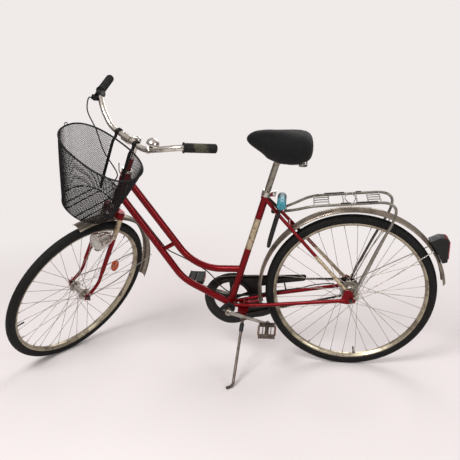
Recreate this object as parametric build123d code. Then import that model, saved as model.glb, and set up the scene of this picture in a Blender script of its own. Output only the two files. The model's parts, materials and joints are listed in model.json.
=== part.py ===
from build123d import *
import math
import os

# Town bicycle, parked on its side stand with the bars turned left.
# Bike axes before it is leant over: X to the rear, Y to the right-hand side,
# Z up, with the rear axle at 0, 0, 0. Lengths in mm, angles in degrees.

# wheels
tyre_outer_r = 349.0
tyre_section_r = 19.0
rim_seat_r = 315.0
rim_depth = 13.0
rim_width = 26.0
rim_shoulder = 5.0
spoke_count = 36
spoke_r = 1.05
seat_gap = 0.2
flange_r = 25.0
flange_thick = 5.0
spoke_lace = 1.3
front_flange_y = 31.0
rear_flange_y = 29.0
front_barrel_r = 13.0
rear_barrel_r = 24.0
front_over_nuts = 100.0
rear_over_nuts = 122.0
axle_r = 4.8
axle_end = 8.0
rear_nut_thick = 8.6
bore_gap = 0.08
hub_end_gap = 5.0
neck_share = 0.8
run_gap = 0.3
reflector_half = 26.0

# steering geometry and stance
wheelbase = 1167.0
head_angle = 66.96
fork_offset = 48.0
steer_left = 58.1
lean_left = 9.0

# frame
head_tube_r = 18.0
head_tube_low = 432.0
head_tube_top = 580.0
main_tube_r = 14.3
seat_tube_r = 14.3
bb_back = -499.0
bb_drop = 72.7
bb_r = 20.5
bb_half = 35.0
seat_tube_lean = 17.25
seat_tube_length = 538.0
post_out = 133.0
top_tube_on_head = 558.0
down_tube_on_head = 478.0
top_tube_bend = (-639.7, 91.0)
top_tube_on_seat = 175.0
down_tube_bend = (-696.0, 39.0)
tube_bend_r = 198.0
chain_stay_r = 8.0
seat_stay_r = 7.0
stay_half_front = 28.5
stay_half_rear = 66.0
dropout_thick = 6.0

# fork
steerer_r = 12.5
crown_low = 386.0
crown_top = 414.0
blade_half_top = 47.0
blade_half_low = 55.0
blade_top_r = 11.5
blade_low_r = 7.0
blade_forward = 9.0
blade_bend_at = 120.0

# mudguards
guard_width = 52.0
guard_thick = 1.4
guard_sag = 13.0
front_guard_r = 380.0
front_guard_from = 67.0
front_guard_to = 182.0
front_guard_shift = -16.0
rear_guard_r = 381.0
rear_guard_from = 9.0
rear_guard_to = 191.0
stay_wire_r = 2.3

# bars
bar_r = 11.1
bar_forward = 58.0
bar_height = 728.0
grip_r = 16.0
grip_length = 128.0
bar_bends = [
    # forward, left, up
    (58.0, 95.0, 728.0),
    (55.0, 172.0, 768.0),
    (30.0, 226.0, 802.0),
    (-70.0, 300.0, 839.0),
]
bar_bend_r = 38.0

# basket, in level axes about the steering axis
basket_top_z = 681.0
basket_low_z = 458.0
basket_rim_back = 92.0
basket_rim_front = 284.0
basket_rim_half = 206.0
basket_floor_back = 118.0
basket_floor_front = 226.0
basket_floor_half = 132.0
basket_wall = 3.0
strap_half = 50.0
strap_width = 13.0
strap_thick = 3.0

# cranks and chain
crank_length = 170.0
crank_turn = -17.0
crank_y = 62.0
crank_thick = 12.0
chain_y = 47.0
ring_teeth = 46
sprocket_teeth = 18
chain_pitch = 12.7
chain_half_height = 4.3
chain_width = 7.0
pedal_length = 92.0
pedal_width = 62.0

# side stand
stand_pivot = (-441.0, -50.0, -112.0)
stand_leg_r = 6.5
stand_out = 49.5
stand_forward = 5.0
stand_foot_r = 9.0


def vec(a):
    return Vector(*a)


def rod(a, b, r):
    a, b = vec(a), vec(b)
    d = b - a
    return Plane(origin=a, z_dir=d) * extrude(Circle(r), d.length)


def cone(a, b, ra, rb):
    a, b = vec(a), vec(b)
    d = b - a
    base = Plane(origin=a, z_dir=d)
    return base * Pos(0, 0, d.length / 2) * Cone(ra, rb, d.length)


def bent(points, r, bend):
    path = FilletPolyline(*[vec(p) for p in points], radius=bend)
    return sweep(Plane(origin=path @ 0, z_dir=path % 0) * Circle(r), path=path)


def disc_y(x, y0, y1, z, r):
    return rod((x, y0, z), (x, y1, z), r)


def plate(outline, y0, y1):
    face = make_face(Polyline(*[(x, 0, z) for x, z in outline], close=True))
    return Pos(0, y0, 0) * extrude(face, y1 - y0, dir=(0, 1, 0))


def joined(shapes):
    out = shapes[0]
    for s in shapes[1:]:
        out = out + s
    return out


sin_h, cos_h = math.sin(math.radians(head_angle)), math.cos(math.radians(head_angle))
front_axle = Vector(-wheelbase, 0, 0)
forward_dir = Vector(-sin_h, 0, cos_h)
axis_dir = Vector(cos_h, 0, sin_h)
axis_foot = front_axle - forward_dir * fork_offset
# steering axes: X forward, Y left, Z up along the steering axis
steer_plane = Plane(origin=axis_foot, x_dir=forward_dir, z_dir=axis_dir)


def on_axis(up, forward=0.0, left=0.0):
    return axis_foot + axis_dir * up + forward_dir * forward + Vector(0, -left, 0)


pieces = {}
bodies = {}


def add(body, name, shape):
    pieces[name] = shape
    bodies.setdefault(body, []).append(name)


# wheels are built about Y at 0, 0, 0
def wheel(body, flange_y, barrel_r, over_nuts, phase):
    torus_r = tyre_outer_r - tyre_section_r
    lip = rim_width / 2 - 3.0
    section = Pos(torus_r, 0) * Circle(tyre_section_r)
    section -= Pos(rim_seat_r - 20, 0) * Rectangle(40, 60)
    tyre = revolve(Plane.XY * section, Axis.Y)
    half = rim_width / 2
    inner = rim_seat_r - rim_depth
    rim_line = Polyline(
        (rim_seat_r, -half), (rim_seat_r, half), (rim_seat_r - rim_shoulder, half),
        (inner + 2.5, half - 5.5), (inner, 4.0), (inner, -4.0),
        (inner + 2.5, 5.5 - half), (rim_seat_r - rim_shoulder, -half), close=True)
    rim = revolve(make_face(rim_line), Axis.Y)
    bore = axle_r + bore_gap
    end = over_nuts / 2 - hub_end_gap
    neck_r = barrel_r * neck_share
    hub_line = Polyline(
        (bore, -end), (neck_r, -end), (neck_r, -flange_y - 4), (barrel_r, 6 - flange_y),
        (barrel_r, flange_y - 6), (neck_r, flange_y + 4), (neck_r, end), (bore, end), close=True)
    hub = revolve(make_face(hub_line), Axis.Y)
    rim_reach = inner - seat_gap
    for side in (-1, 1):
        hub += disc_y(0, side * flange_y - flange_thick / 2, side * flange_y + flange_thick / 2, 0,
                      flange_r + barrel_r - front_barrel_r)
    hole_r = flange_r + barrel_r - front_barrel_r - 3.5
    bore_cut = disc_y(0, -over_nuts, over_nuts, 0, bore)
    hub -= bore_cut
    step = 360 / spoke_count
    spokes = []
    for k in range(spoke_count):
        side = -1 if k % 2 else 1
        lead = 1 if (k // 2) % 2 else -1
        at_rim = math.radians(k * step + phase)
        at_hub = at_rim + lead * math.radians(3 * 2 * step)
        a = (hole_r * math.cos(at_hub), side * (flange_y + lead * spoke_lace), hole_r * math.sin(at_hub))
        b = (rim_reach * math.cos(at_rim), side * (2.1 + lead * spoke_lace), rim_reach * math.sin(at_rim))
        spokes.append(rod(a, b, spoke_r))
    hub = hub.fuse(*spokes)
    return tyre, rim, hub


def frame():
    seat_dir = Vector(math.sin(math.radians(seat_tube_lean)), 0, math.cos(math.radians(seat_tube_lean)))
    bb = Vector(bb_back, 0, -bb_drop)
    seat_top = bb + seat_dir * seat_tube_length
    head = rod(on_axis(head_tube_low), on_axis(head_tube_top), head_tube_r)
    lug = 3.0
    for up in (top_tube_on_head, down_tube_on_head):
        head += rod(on_axis(up - 20), on_axis(up + 20), head_tube_r + lug)
    head -= rod(on_axis(head_tube_low - 5), on_axis(head_tube_top + 5), steerer_r + 2.5)
    shell = disc_y(bb.X, -bb_half, bb_half, bb.Z, bb_r)
    shell -= disc_y(bb.X, -bb_half - 1, bb_half + 1, bb.Z, 9.0)
    seat = rod(bb, seat_top, seat_tube_r)
    seat_collar = rod(seat_top - seat_dir * 34, seat_top, seat_tube_r + 3)
    ear = Pos(seat_top.X + 22, 0, seat_top.Z - 12) * Box(20, 22, 14)
    seat = seat + seat_collar + ear
    seat -= rod(seat_top - seat_dir * 120, seat_top + seat_dir * 10, 12.7)
    seat -= disc_y(bb.X, -60, 60, bb.Z, bb_r)
    t0 = on_axis(top_tube_on_head)
    t2 = bb + seat_dir * top_tube_on_seat
    top = bent([(t0.X, 0, t0.Z), (top_tube_bend[0], 0, top_tube_bend[1]), (t2.X, 0, t2.Z)], main_tube_r,
               tube_bend_r)
    d0 = on_axis(down_tube_on_head)
    down = bent([(d0.X, 0, d0.Z), (down_tube_bend[0], 0, down_tube_bend[1]), (bb.X, 0, bb.Z)], main_tube_r,
                tube_bend_r)
    head_solid = rod(on_axis(head_tube_low - 40), on_axis(head_tube_top + 40), head_tube_r + lug)
    top = top - head_solid - rod(bb, seat_top, seat_tube_r)
    down = down - head_solid - disc_y(bb.X, -60, 60, bb.Z, bb_r) - rod(bb, seat_top, seat_tube_r)
    brace = rod((-765, 0, 181), (-712, 0, 212), 9)
    brace = brace - bent([(t0.X, 0, t0.Z), (top_tube_bend[0], 0, top_tube_bend[1]), (t2.X, 0, t2.Z)],
                         main_tube_r, tube_bend_r)
    brace = brace - bent([(d0.X, 0, d0.Z), (down_tube_bend[0], 0, down_tube_bend[1]), (bb.X, 0, bb.Z)],
                         main_tube_r, tube_bend_r)
    brace = max(brace.solids(), key=lambda s: s.volume)
    # lower stays with the rear drop-outs
    slot_r = axle_r + 0.25
    lower = []
    for side in (-1, 1):
        lower.append(bent([(bb.X, side * 14, bb.Z), (bb.X + 70, side * stay_half_front, bb.Z + 8),
                           (bb.X + 190, side * (stay_half_rear - 20), bb.Z + 28),
                           (-22, side * (stay_half_rear - 1), -3)], chain_stay_r, 120))
        drop = plate([(-44, -14), (-14, -18), (16, -12), (20, 6), (14, 30), (-10, 46), (-26, 44), (-34, 20)],
                     side * stay_half_rear - dropout_thick / 2, side * stay_half_rear + dropout_thick / 2)
        lower.append(drop)
    bridge = Vector(bb.X + 62, 0, bb.Z + 7)
    lower.append(rod((bridge.X, -28, bridge.Z), (bridge.X, 28, bridge.Z), 8))
    lower.append(rod(bridge, bridge * ((rear_guard_r + run_gap) / bridge.length), 5))
    lower = joined(lower)
    lower -= disc_y(bb.X, -60, 60, bb.Z, bb_r)
    lower -= disc_y(0, -90, 90, 0, slot_r)
    # upper stays
    upper = []
    top_of = bb + seat_dir * (seat_tube_length - 28)
    for side in (-1, 1):
        upper.append(bent([(top_of.X, side * 17, top_of.Z), (top_of.X + 60, side * 31, top_of.Z - 69),
                           (-22, side * (stay_half_rear - 9), 42)], seat_stay_r, 150))
    bridge = Vector(top_of.X + 60, 0, top_of.Z - 69)
    bridge = bridge + (Vector(-22, 0, 42) - bridge) * 0.13
    upper.append(rod((bridge.X, -34, bridge.Z), (bridge.X, 34, bridge.Z), 6))
    upper.append(rod(bridge, bridge * ((rear_guard_r + run_gap) / bridge.length), 5))
    upper = joined(upper)
    upper -= rod(bb, seat_top + seat_dir * 20, seat_tube_r + 3)
    drop_zone = joined([plate([(-44, -14), (-14, -18), (16, -12), (20, 6), (14, 30), (-10, 46), (-26, 44),
                               (-34, 20)], s * stay_half_rear - dropout_thick / 2,
                              s * stay_half_rear + dropout_thick / 2) for s in (-1, 1)])
    upper -= drop_zone
    upper = upper.solids().sort_by(SortBy.VOLUME)[-1]
    post = rod(seat_top - seat_dir * 110, seat_top + seat_dir * post_out, 12.6)
    post_top = seat_top + seat_dir * post_out
    clamp = Pos(post_top.X, 0, post_top.Z) * Rot(90, 0, 0) * Cylinder(15, 46)
    post = post + clamp
    add("frame", "head_tube", head)
    add("frame", "bottom_bracket", shell)
    add("frame", "seat_tube", seat)
    add("frame", "top_tube", top)
    add("frame", "down_tube", down)
    add("frame", "frame_brace", brace)
    add("frame", "chain_stays", lower)
    add("frame", "seat_stays", upper)
    add("frame", "seat_post", post)
    cups = rod(on_axis(head_tube_top), on_axis(head_tube_top + 12), 22)
    cups_low = rod(on_axis(crown_top + run_gap), on_axis(head_tube_low), 22)
    hole = rod(on_axis(300), on_axis(700), steerer_r + 2.5)
    add("frame", "headset_cups", Compound(children=[cups - hole, cups_low - hole]))
    return bb, seat_top, seat_dir, post_top


bb, seat_top, seat_dir, post_top = frame()


def saddle():
    # three level sections, nose to tail, closed underneath
    x_nose, x_mid, x_tail = -416.0, -300.0, -172.0
    rows = [
        # x, half width, top, bottom
        (-414.0, 17.0, 656.0, 622.0),
        (-350.0, 28.0, 664.0, 612.0),
        (-270.0, 70.0, 668.0, 604.0),
        (-205.0, 103.0, 672.0, 600.0),
        (-176.0, 88.0, 662.0, 604.0),
    ]
    faces = []
    for x, half, top, low in rows:
        r = min(half, (top - low) / 2) * 0.7
        face = Plane(origin=(x, 0, (top + low) / 2), x_dir=(0, 1, 0), z_dir=(1, 0, 0)) * RectangleRounded(
            2 * half, top - low, r)
        faces.append(face)
    pad = loft(faces, ruled=True)
    add("frame", "saddle", pad)
    rails = []
    for side in (-1, 1):
        rails.append(bent([(-372, side * 9, 611), (-340, side * 12, 588), (-250, side * 22, 585),
                           (-205, side * 58, 566)], 3.6, 16))
    rails.append(rod((-372, -12, 608), (-372, 12, 608), 3.6))
    coils = [rod((-204, s * 60, 558), (-204, s * 60, 603), 15) for s in (-1, 1)]
    cross = rod((-205, -60, 565), (-205, 60, 565), 4)
    springs = joined(rails + coils + [cross])
    springs = springs - pad
    springs = springs - pieces["seat_post"]
    add("frame", "saddle_springs", springs)


saddle()


def guard(centre_r, start, stop):
    # shallow arched section turned about Y, start and stop measured from +X towards +Z
    half = guard_width / 2
    edge_r = centre_r - guard_sag
    slim = guard_thick * 0.7
    outer = ThreePointArc((edge_r, -half), (centre_r, 0), (edge_r, half))
    inner = ThreePointArc((edge_r - slim, -half + slim), (centre_r - guard_thick, 0), (edge_r - slim, half - slim))
    face = make_face([outer, inner, Line(outer @ 0, inner @ 0), Line(outer @ 1, inner @ 1)])
    return Rot(0, -stop, 0) * revolve(face, Axis.Y, revolution_arc=stop - start)


def polar(r, angle, y=0.0):
    a = math.radians(angle)
    return (r * math.cos(a), y, r * math.sin(a))


def rear_end():
    add("frame", "rear_mudguard", guard(rear_guard_r, rear_guard_from, rear_guard_to))
    stays = []
    edge_r = rear_guard_r - guard_sag
    for side in (-1, 1):
        y_edge = side * (guard_width / 2 + stay_wire_r + 0.3)
        eye = (14, side * (stay_half_rear + dropout_thick / 2 + 3.5), 16)
        for angle in (34, 66):
            stays.append(bent([eye, polar(edge_r * 0.55, angle, side * 55), polar(edge_r + 4, angle, y_edge)],
                              stay_wire_r, 120))
        stays.append(disc_y(14, side * (stay_half_rear + dropout_thick / 2),
                            side * (stay_half_rear + dropout_thick / 2 + 7), 16, 6))
    add("frame", "rear_mudguard_stays", joined(stays))

    # luggage rack: two rails bent down to the drop-outs, cross wires between them
    rack = []
    for side in (-1, 1):
        y = side * rack_half
        rack.append(bent([(-272, side * 22, 366), (-226, side * 40, 380), (-168, y, 402), (116, y, 424),
                          (150, y, 396), (143, y, 344), (92, side * (rack_half + 6), 236), (20, side * 71.5, 62),
                          (11, side * 74.5, 30)], rack_tube_r, 16))
    for x in rack_wires_at:
        z = 402 + (x + 168) * 22 / 284
        rack.append(rod((x, -rack_half, z), (x, rack_half, z), rack_wire_r))
    rack.append(rod((-268, -25, 366.5), (-268, 25, 366.5), rack_tube_r * 0.9))
    rack = joined(rack)
    rack -= joined([disc_y(11, s * 60, s * (stay_half_rear + dropout_thick / 2 + 0.2), 30, 9) for s in (-1, 1)])
    add("frame", "rear_rack", rack)

    # rear lamp on the guard
    lamp_at = Location((rear_guard_r * math.cos(math.radians(32)) + 1, 0, rear_guard_r * math.sin(
        math.radians(32))), (0, 0, 0))
    box = Pos(lamp_x + 7, 0, lamp_z) * Box(26, 52, 96)
    box = fillet(box.edges().filter_by(Axis.Y), 8)
    box -= guard_solid(rear_guard_r + 0.2)
    box -= Pos(lamp_x + 20, 0, lamp_z - 14) * Box(16, 44, 58)
    box = max(box.solids(), key=lambda s: s.volume)
    lens = Pos(lamp_x + 17, 0, lamp_z - 14) * Box(10 - 0.2, 44 - 0.4, 58 - 0.4)
    add("frame", "rear_lamp_housing", box)
    add("frame", "rear_lamp_lens", lens)


def guard_solid(r):
    return disc_y(0, -60, 60, 0, r)


rack_half = 57.0
rack_tube_r = 5.5
rack_wire_r = 2.5
rack_wires_at = [-150.0, -100.0, -45.0, 0.0, 45.0, 85.0]
lamp_x = 350.0
lamp_z = 198.0
rear_end()


def drive():
    ring_r = chain_pitch / 2 / math.sin(math.pi / ring_teeth)
    cog_r = chain_pitch / 2 / math.sin(math.pi / sprocket_teeth)
    bx, bz = bb.X, bb.Z
    gap = math.hypot(bx, bz)
    line = math.atan2(-bz, -bx)
    spread = math.asin((ring_r - cog_r) / gap)
    # band round both wheels of the drive: two arcs and two straight runs
    def loop(grow):
        up = line + math.pi / 2 - spread
        dn = line - math.pi / 2 + spread
        a = (bx + (ring_r + grow) * math.cos(up), bz + (ring_r + grow) * math.sin(up))
        b = (bx + (ring_r + grow) * math.cos(dn), bz + (ring_r + grow) * math.sin(dn))
        c = ((cog_r + grow) * math.cos(up), (cog_r + grow) * math.sin(up))
        d = ((cog_r + grow) * math.cos(dn), (cog_r + grow) * math.sin(dn))
        far = (bx - (ring_r + grow) * math.cos(line), bz - (ring_r + grow) * math.sin(line))
        near = ((cog_r + grow) * math.cos(line), (cog_r + grow) * math.sin(line))
        p = lambda q: (q[0], 0, q[1])
        wires = [Line(p(a), p(c)), ThreePointArc(p(c), p(near), p(d)), Line(p(d), p(b)),
                 ThreePointArc(p(b), p(far), p(a))]
        return make_face(wires)
    band = extrude(loop(chain_half_height), chain_width, dir=(0, 1, 0)) - extrude(
        loop(-chain_half_height), chain_width, dir=(0, 1, 0))
    add("frame", "chain", Pos(0, chain_y - chain_width / 2, 0) * band)
    cog = disc_y(0, chain_y - 1.5, chain_y + 1.5, 0, cog_r - chain_half_height - 0.2)
    cog -= disc_y(0, 0, 90, 0, rear_barrel_r * neck_share + run_gap)
    add("frame", "rear_sprocket", cog)
    ring = disc_y(bx, chain_y - 1.5, chain_y + 1.5, bz, ring_r - chain_half_height - 0.4)
    ring -= disc_y(bx, 0, 90, bz, ring_r - 22)
    for k in range(5):
        ring += Pos(bx, chain_y, bz) * Rot(0, 72 * k + crank_turn, 0) * Pos(ring_r * 0.42, 0, 0) * Box(
            ring_r * 0.84 + 10, 3, 14)
    ring += disc_y(bx, chain_y - 1.5, chain_y + 1.5, bz, 20)
    ring -= disc_y(bx, 0, 90, bz, crank_axle_r)
    add("crank", "chainring", ring)
    arms = disc_y(bx, -crank_y - crank_thick, crank_y + crank_thick, bz, crank_axle_r - 0.05)
    for side in (-1, 1):
        turn = crank_turn if side < 0 else crank_turn + 180
        y0 = side * crank_y if side > 0 else side * crank_y - crank_thick
        end = (bx + crank_length * math.cos(math.radians(turn)), bz + crank_length * math.sin(math.radians(turn)))
        arm = disc_y(bx, y0, y0 + crank_thick, bz, 17) + disc_y(end[0], y0, y0 + crank_thick, end[1], 13)
        bar = Pos(0, y0 + crank_thick / 2, 0) * Box(crank_length, crank_thick, 20)
        arm += Pos((bx + end[0]) / 2, 0, (bz + end[1]) / 2) * Rot(0, -turn, 0) * bar
        arms += arm
        outer = side * (crank_y + crank_thick)
        far = outer + side * (pedal_length + 8)
        axle = rod((end[0], outer - side * 4, end[1]), (end[0], far, end[1]), 4.0)
        arms += axle
        # pedal body: two cage plates, end caps and treads on a sleeve
        cy = outer + side * (pedal_length / 2 + 4)
        body = Pos(end[0], cy, end[1]) * (Rot(90, 0, 0) * Cylinder(9, pedal_length - 2))
        for e in (-1, 1):
            body += Pos(end[0], cy + e * (pedal_length / 2 - 3), end[1]) * Box(pedal_width, 5, 20)
            body += Pos(end[0] + e * (pedal_width / 2 - 5), cy, end[1]) * Box(10, pedal_length - 2, 22)
        body -= disc_y(end[0], -400, 400, end[1], 4.08)
        add("left_pedal" if side < 0 else "right_pedal", ("left" if side < 0 else "right") + "_pedal_body", body)
        pedal_at[side] = (end[0], cy, end[1])
    add("crank", "crankset", arms)
    # chain guard: a flat case round the ring that runs back to a pointed tail
    y0, y1 = guard_y
    r = ring_guard_r
    tail_top, tail_low = (-178.0, 47.0), (-196.0, 20.0)
    face = Pos(bx, 0, bz) * Rot(90, 0, 0) * Circle(r)
    outline = plate([(bx, bz + r), tail_top, tail_low, (bx + 40, bz + r - 46), (bx, bz + r - 46)], y0, y1)
    case = disc_y(bx, y0, y1, bz, r) - disc_y(bx, y0 - 1, y1 + 1, bz, r - 30)
    case -= plate([(bx, bz), (bx + 200, bz + 40), (bx + 200, bz - 220), (bx - 10, bz - 220)], y0 - 1, y1 + 1)
    case += outline - disc_y(bx, y0 - 1, y1 + 1, bz, r - 30)
    case += Pos(-268, (y0 + y1) / 2, -5) * Box(14, y1 - y0, 56) - pieces["chain_stays"]
    add("frame", "chain_guard", max(case.solids(), key=lambda s: s.volume))
    # coaster brake arm on the left, held to the lower stay
    arm = plate([(-100, -20), (6, -12), (10, 0), (0, 12), (-12, 8), (-102, -10)], -stay_half_rear + 4.5,
                -stay_half_rear + 7.5)
    arm = arm - disc_y(0, -90, 90, 0, axle_r) - pieces["chain_stays"]
    arm = max(arm.solids(), key=lambda s: s.volume)
    add("frame", "brake_arm", arm)
    # rear axle with nuts
    half = stay_half_rear + dropout_thick / 2 + rear_nut_thick + axle_end
    nuts = disc_y(0, -half, half, 0, axle_r)
    for side in (-1, 1):
        face_y = side * (stay_half_rear + dropout_thick / 2)
        nut = extrude(Plane(origin=(0, face_y, 0), z_dir=(0, side, 0)) * RegularPolygon(9, 6), rear_nut_thick)
        nuts += nut
    add("frame", "rear_axle", nuts)


crank_axle_r = 8.0
guard_y = (52.5, 54.0)
ring_guard_r = 117.0
pedal_at = {}
drive()


def lock():
    # U-lock carried behind the seat tube
    mid = Vector(-283.5, 0, 399)
    low = Vector(-336, 0, 213)
    down = (low - mid).normalized()
    bar = rod((mid.X, -58, mid.Z), (mid.X, 58, mid.Z), 18)
    add("frame", "lock_bar", bar)
    legs = bent([(mid.X, -43, mid.Z), (low.X, -43, low.Z), (low.X, 43, low.Z), (mid.X, 43, mid.Z)], 6.5, 40)
    legs -= bar
    legs = max(legs.solids(), key=lambda s: s.volume)
    add("frame", "lock_shackle", legs)
    seat_at = bb + seat_dir * 452
    clamp = rod(seat_at, seat_at + seat_dir * 30, seat_tube_r + 5) - rod(
        seat_at - seat_dir, seat_at + seat_dir * 31, seat_tube_r)
    arm = Pos(-322, 0, 381) * Rot(0, 12, 0) * Box(50, 24, 16)
    arm = arm - bar - rod(bb, seat_top, seat_tube_r)
    clamp += arm
    clamp -= pieces["seat_stays"]
    add("frame", "lock_bracket", max(clamp.solids(), key=lambda s: s.volume))


lock()


def stand():
    # plate between the lower stays, pivot on the left, leg down to the floor
    px, py, pz = stand_pivot
    block = Pos(px, -10, bb.Z - 6) * Box(44, 74, 12)
    block -= pieces["chain_stays"]
    block = max(block.solids(), key=lambda s: s.volume)
    lug_block = Pos(px, py + 16, pz + 16) * Box(26, 18, 30)
    pivot = Vector(*stand_pivot)
    block += lug_block
    block -= rod(tuple(pivot - stand_hinge * 14), tuple(pivot + stand_hinge * 7), 12)
    block -= rod(stand_pivot, tuple(pivot + stand_hinge * 60), 5.1)
    add("frame", "stand_bracket", max(block.solids(), key=lambda s: s.volume))


def fork_side():
    place = steer_plane.location
    steerer = Pos(0, 0, (crown_top + 640) / 2) * Cylinder(steerer_r, 640 - crown_top)
    crown = Pos(0, 0, (crown_low + crown_top) / 2) * Box(32, 2 * blade_half_top + 10, crown_top - crown_low)
    crown = fillet(crown.edges().filter_by(Axis.Z), 12)
    fork = steerer + crown
    hub_x = fork_offset
    for side in (-1, 1):
        yt, yl = side * blade_half_top, side * blade_half_low
        fork += cone((blade_forward, yl, blade_bend_at), (0, yt, crown_top - 4), 9.0, blade_top_r)
        fork += bent([(blade_forward, yl, blade_bend_at + 4), (blade_forward - 1, yl, 62),
                      (hub_x - 6, yl, 12)], blade_low_r, 90)
        fork += Pos(blade_forward, yl, blade_bend_at + 2) * Sphere(9.0)
        fork += Pos(hub_x - 3, yl, 3) * Box(26, 5, 30)
    guard_top = math.sqrt(front_guard_r ** 2 - (hub_x + front_guard_shift) ** 2)
    fork += rod((0, 0, guard_top + run_gap), (0, 0, crown_low + 2), 6)
    fork -= rod((hub_x, -90, 0), (hub_x, 90, 0), axle_r + 0.25)
    add_steered("fork", fork)
    reach = blade_half_low + 2.5 + 7 + axle_end
    axle = rod((hub_x, -reach, 0), (hub_x, reach, 0), axle_r)
    for side in (-1, 1):
        nut = extrude(Plane(origin=(hub_x, side * (blade_half_low + 2.5), 0), z_dir=(0, side, 0)) * RegularPolygon(
            9, 6), 7)
        axle += nut
    add_steered("front_axle", axle)
    guard_body = Pos(hub_x + front_guard_shift, 0, 0) * guard(front_guard_r, front_guard_from, front_guard_to)
    guard_body -= fork
    add_steered("front_mudguard", max(guard_body.solids(), key=lambda s: s.volume))
    stays = []
    for side in (-1, 1):
        y_edge = side * (guard_width / 2 + stay_wire_r + 0.3)
        tip = polar(front_guard_r - guard_sag + 4, 160, y_edge)
        stays.append(bent([(hub_x - 6, side * (blade_half_low + 9.7), 17), (hub_x - 150, side * 52, 46),
                           (tip[0] + hub_x + front_guard_shift, y_edge, tip[2])], stay_wire_r, 150))
        stays.append(rod((hub_x - 6, side * (blade_half_low + 2.5), 17),
                         (hub_x - 6, side * (blade_half_low + 12), 17), 5))
    stays = joined(stays) - fork
    stays = [s for s in stays.solids() if s.volume > 500]
    add_steered("front_mudguard_stays", Compound(children=stays))
    bar_path = [(-x if False else x, y, z) for x, y, z in bar_bends]
    left = [(bar_forward, 0, bar_height)] + [(x, y, z) for x, y, z in bar_bends]
    full = [(x, -y, z) for x, y, z in reversed(bar_bends)] + [(x, y, z) for x, y, z in bar_bends]
    bar = bent(full, bar_r, bar_bend_r)
    add_steered("handlebar", bar)
    stem = rod((0, 0, 640), (0, 0, bar_height - 8), 11.1) + Pos(0, 0, bar_height - 10) * Sphere(16)
    stem += rod((0, 0, bar_height - 10), (bar_forward, 0, bar_height), 12)
    stem += rod((bar_forward, -18, bar_height), (bar_forward, 18, bar_height), 17)
    stem += rod((0, 0, 592.5), (0, 0, 614), 18) - rod((0, 0, 590), (0, 0, 640), steerer_r)
    stem += rod((0, 0, 640), (0, 0, 644), 12)
    stem -= bar
    stem = max(stem.solids(), key=lambda s: s.volume)
    add_steered("stem", stem)
    for side, name in ((1, "left_grip"), (-1, "right_grip")):
        a, b = Vector(*bar_bends[-2]), Vector(*bar_bends[-1])
        a, b = Vector(a.X, side * a.Y, a.Z), Vector(b.X, side * b.Y, b.Z)
        d = (b - a).normalized()
        grip = rod(tuple(b - d * (grip_length - 6)), tuple(b + d * 6), grip_r) - bar
        add_steered(name, max(grip.solids(), key=lambda s: s.volume))
    a, b = Vector(*bar_bends[-2]), Vector(*bar_bends[-1])
    a, b = Vector(a.X, -a.Y, a.Z), Vector(b.X, -b.Y, b.Z)
    d = (b - a).normalized()
    end = b - d * (grip_length - 5.8)
    control = rod(tuple(end - d * 28), tuple(end), 19)
    control += Pos(*(end - d * 16 + Vector(14, 0, -10))) * Box(34, 20, 18)
    control -= bar
    add_steered("gear_control", max(control.solids(), key=lambda s: s.volume))
    # bell on the left
    bell_at = Vector(56, 116, 741)
    bell = Pos(*(bell_at + Vector(-8, 0, 22))) * (Sphere(25) - Pos(0, 0, -30) * Box(60, 60, 60))
    bell += rod(tuple(bell_at + Vector(-6, 0, 4)), tuple(bell_at + Vector(-8, 0, 24)), 6)
    bell += Pos(*bell_at) * Rot(60, 0, 0) * (Cylinder(bar_r + 3.5, 16))
    bell -= bar
    add_steered("bell", max(bell.solids(), key=lambda s: s.volume))
    # lamp on the left blade
    ly, lz = lamp_left, lamp_up
    lamp = cone((44, ly, lz + 8), (128, ly, lz), 20, 31)
    lamp += Pos(44, ly, lz + 8) * Sphere(20)
    lamp += rod((124, ly, lz), (134, ly, lz), 33)
    lamp -= rod((127, ly, lz), (140, ly, lz), 29)
    bracket = rod((20, ly - 4, lz - 8), (60, ly, lz - 2), 5)
    bracket += rod((18, blade_half_top + 2, lz - 8), (18, ly + 2, lz - 8), 7)
    bracket -= fork
    bracket = max(bracket.solids(), key=lambda s: s.volume)
    lamp += bracket
    lamp = max(lamp.solids(), key=lambda s: s.volume)
    add_steered("headlamp_body", lamp)
    lens = rod((127.2, ly, lz), (132, ly, lz), 28.8)
    add_steered("headlamp_lens", lens)


def basket_at(z, back, front, half):
    # level D-shaped outline: flat at the back, round in front
    r = half * 0.62
    pts = [(back, -half + 30), (back, half - 30)]
    wire = [Line((back, -half + 34), (back, half - 34)),
            ThreePointArc((back, half - 34), (back + 8, half - 10), (back + 34, half)),
            ThreePointArc((back + 34, half), (back + (front - back) * 0.86, half * 0.62), (front, 0)),
            ThreePointArc((front, 0), (back + (front - back) * 0.86, -half * 0.62), (back + 34, -half)),
            ThreePointArc((back + 34, -half), (back + 8, -half + 10), (back, -half + 34))]
    return Pos(0, 0, z) * make_face(wire)


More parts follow.
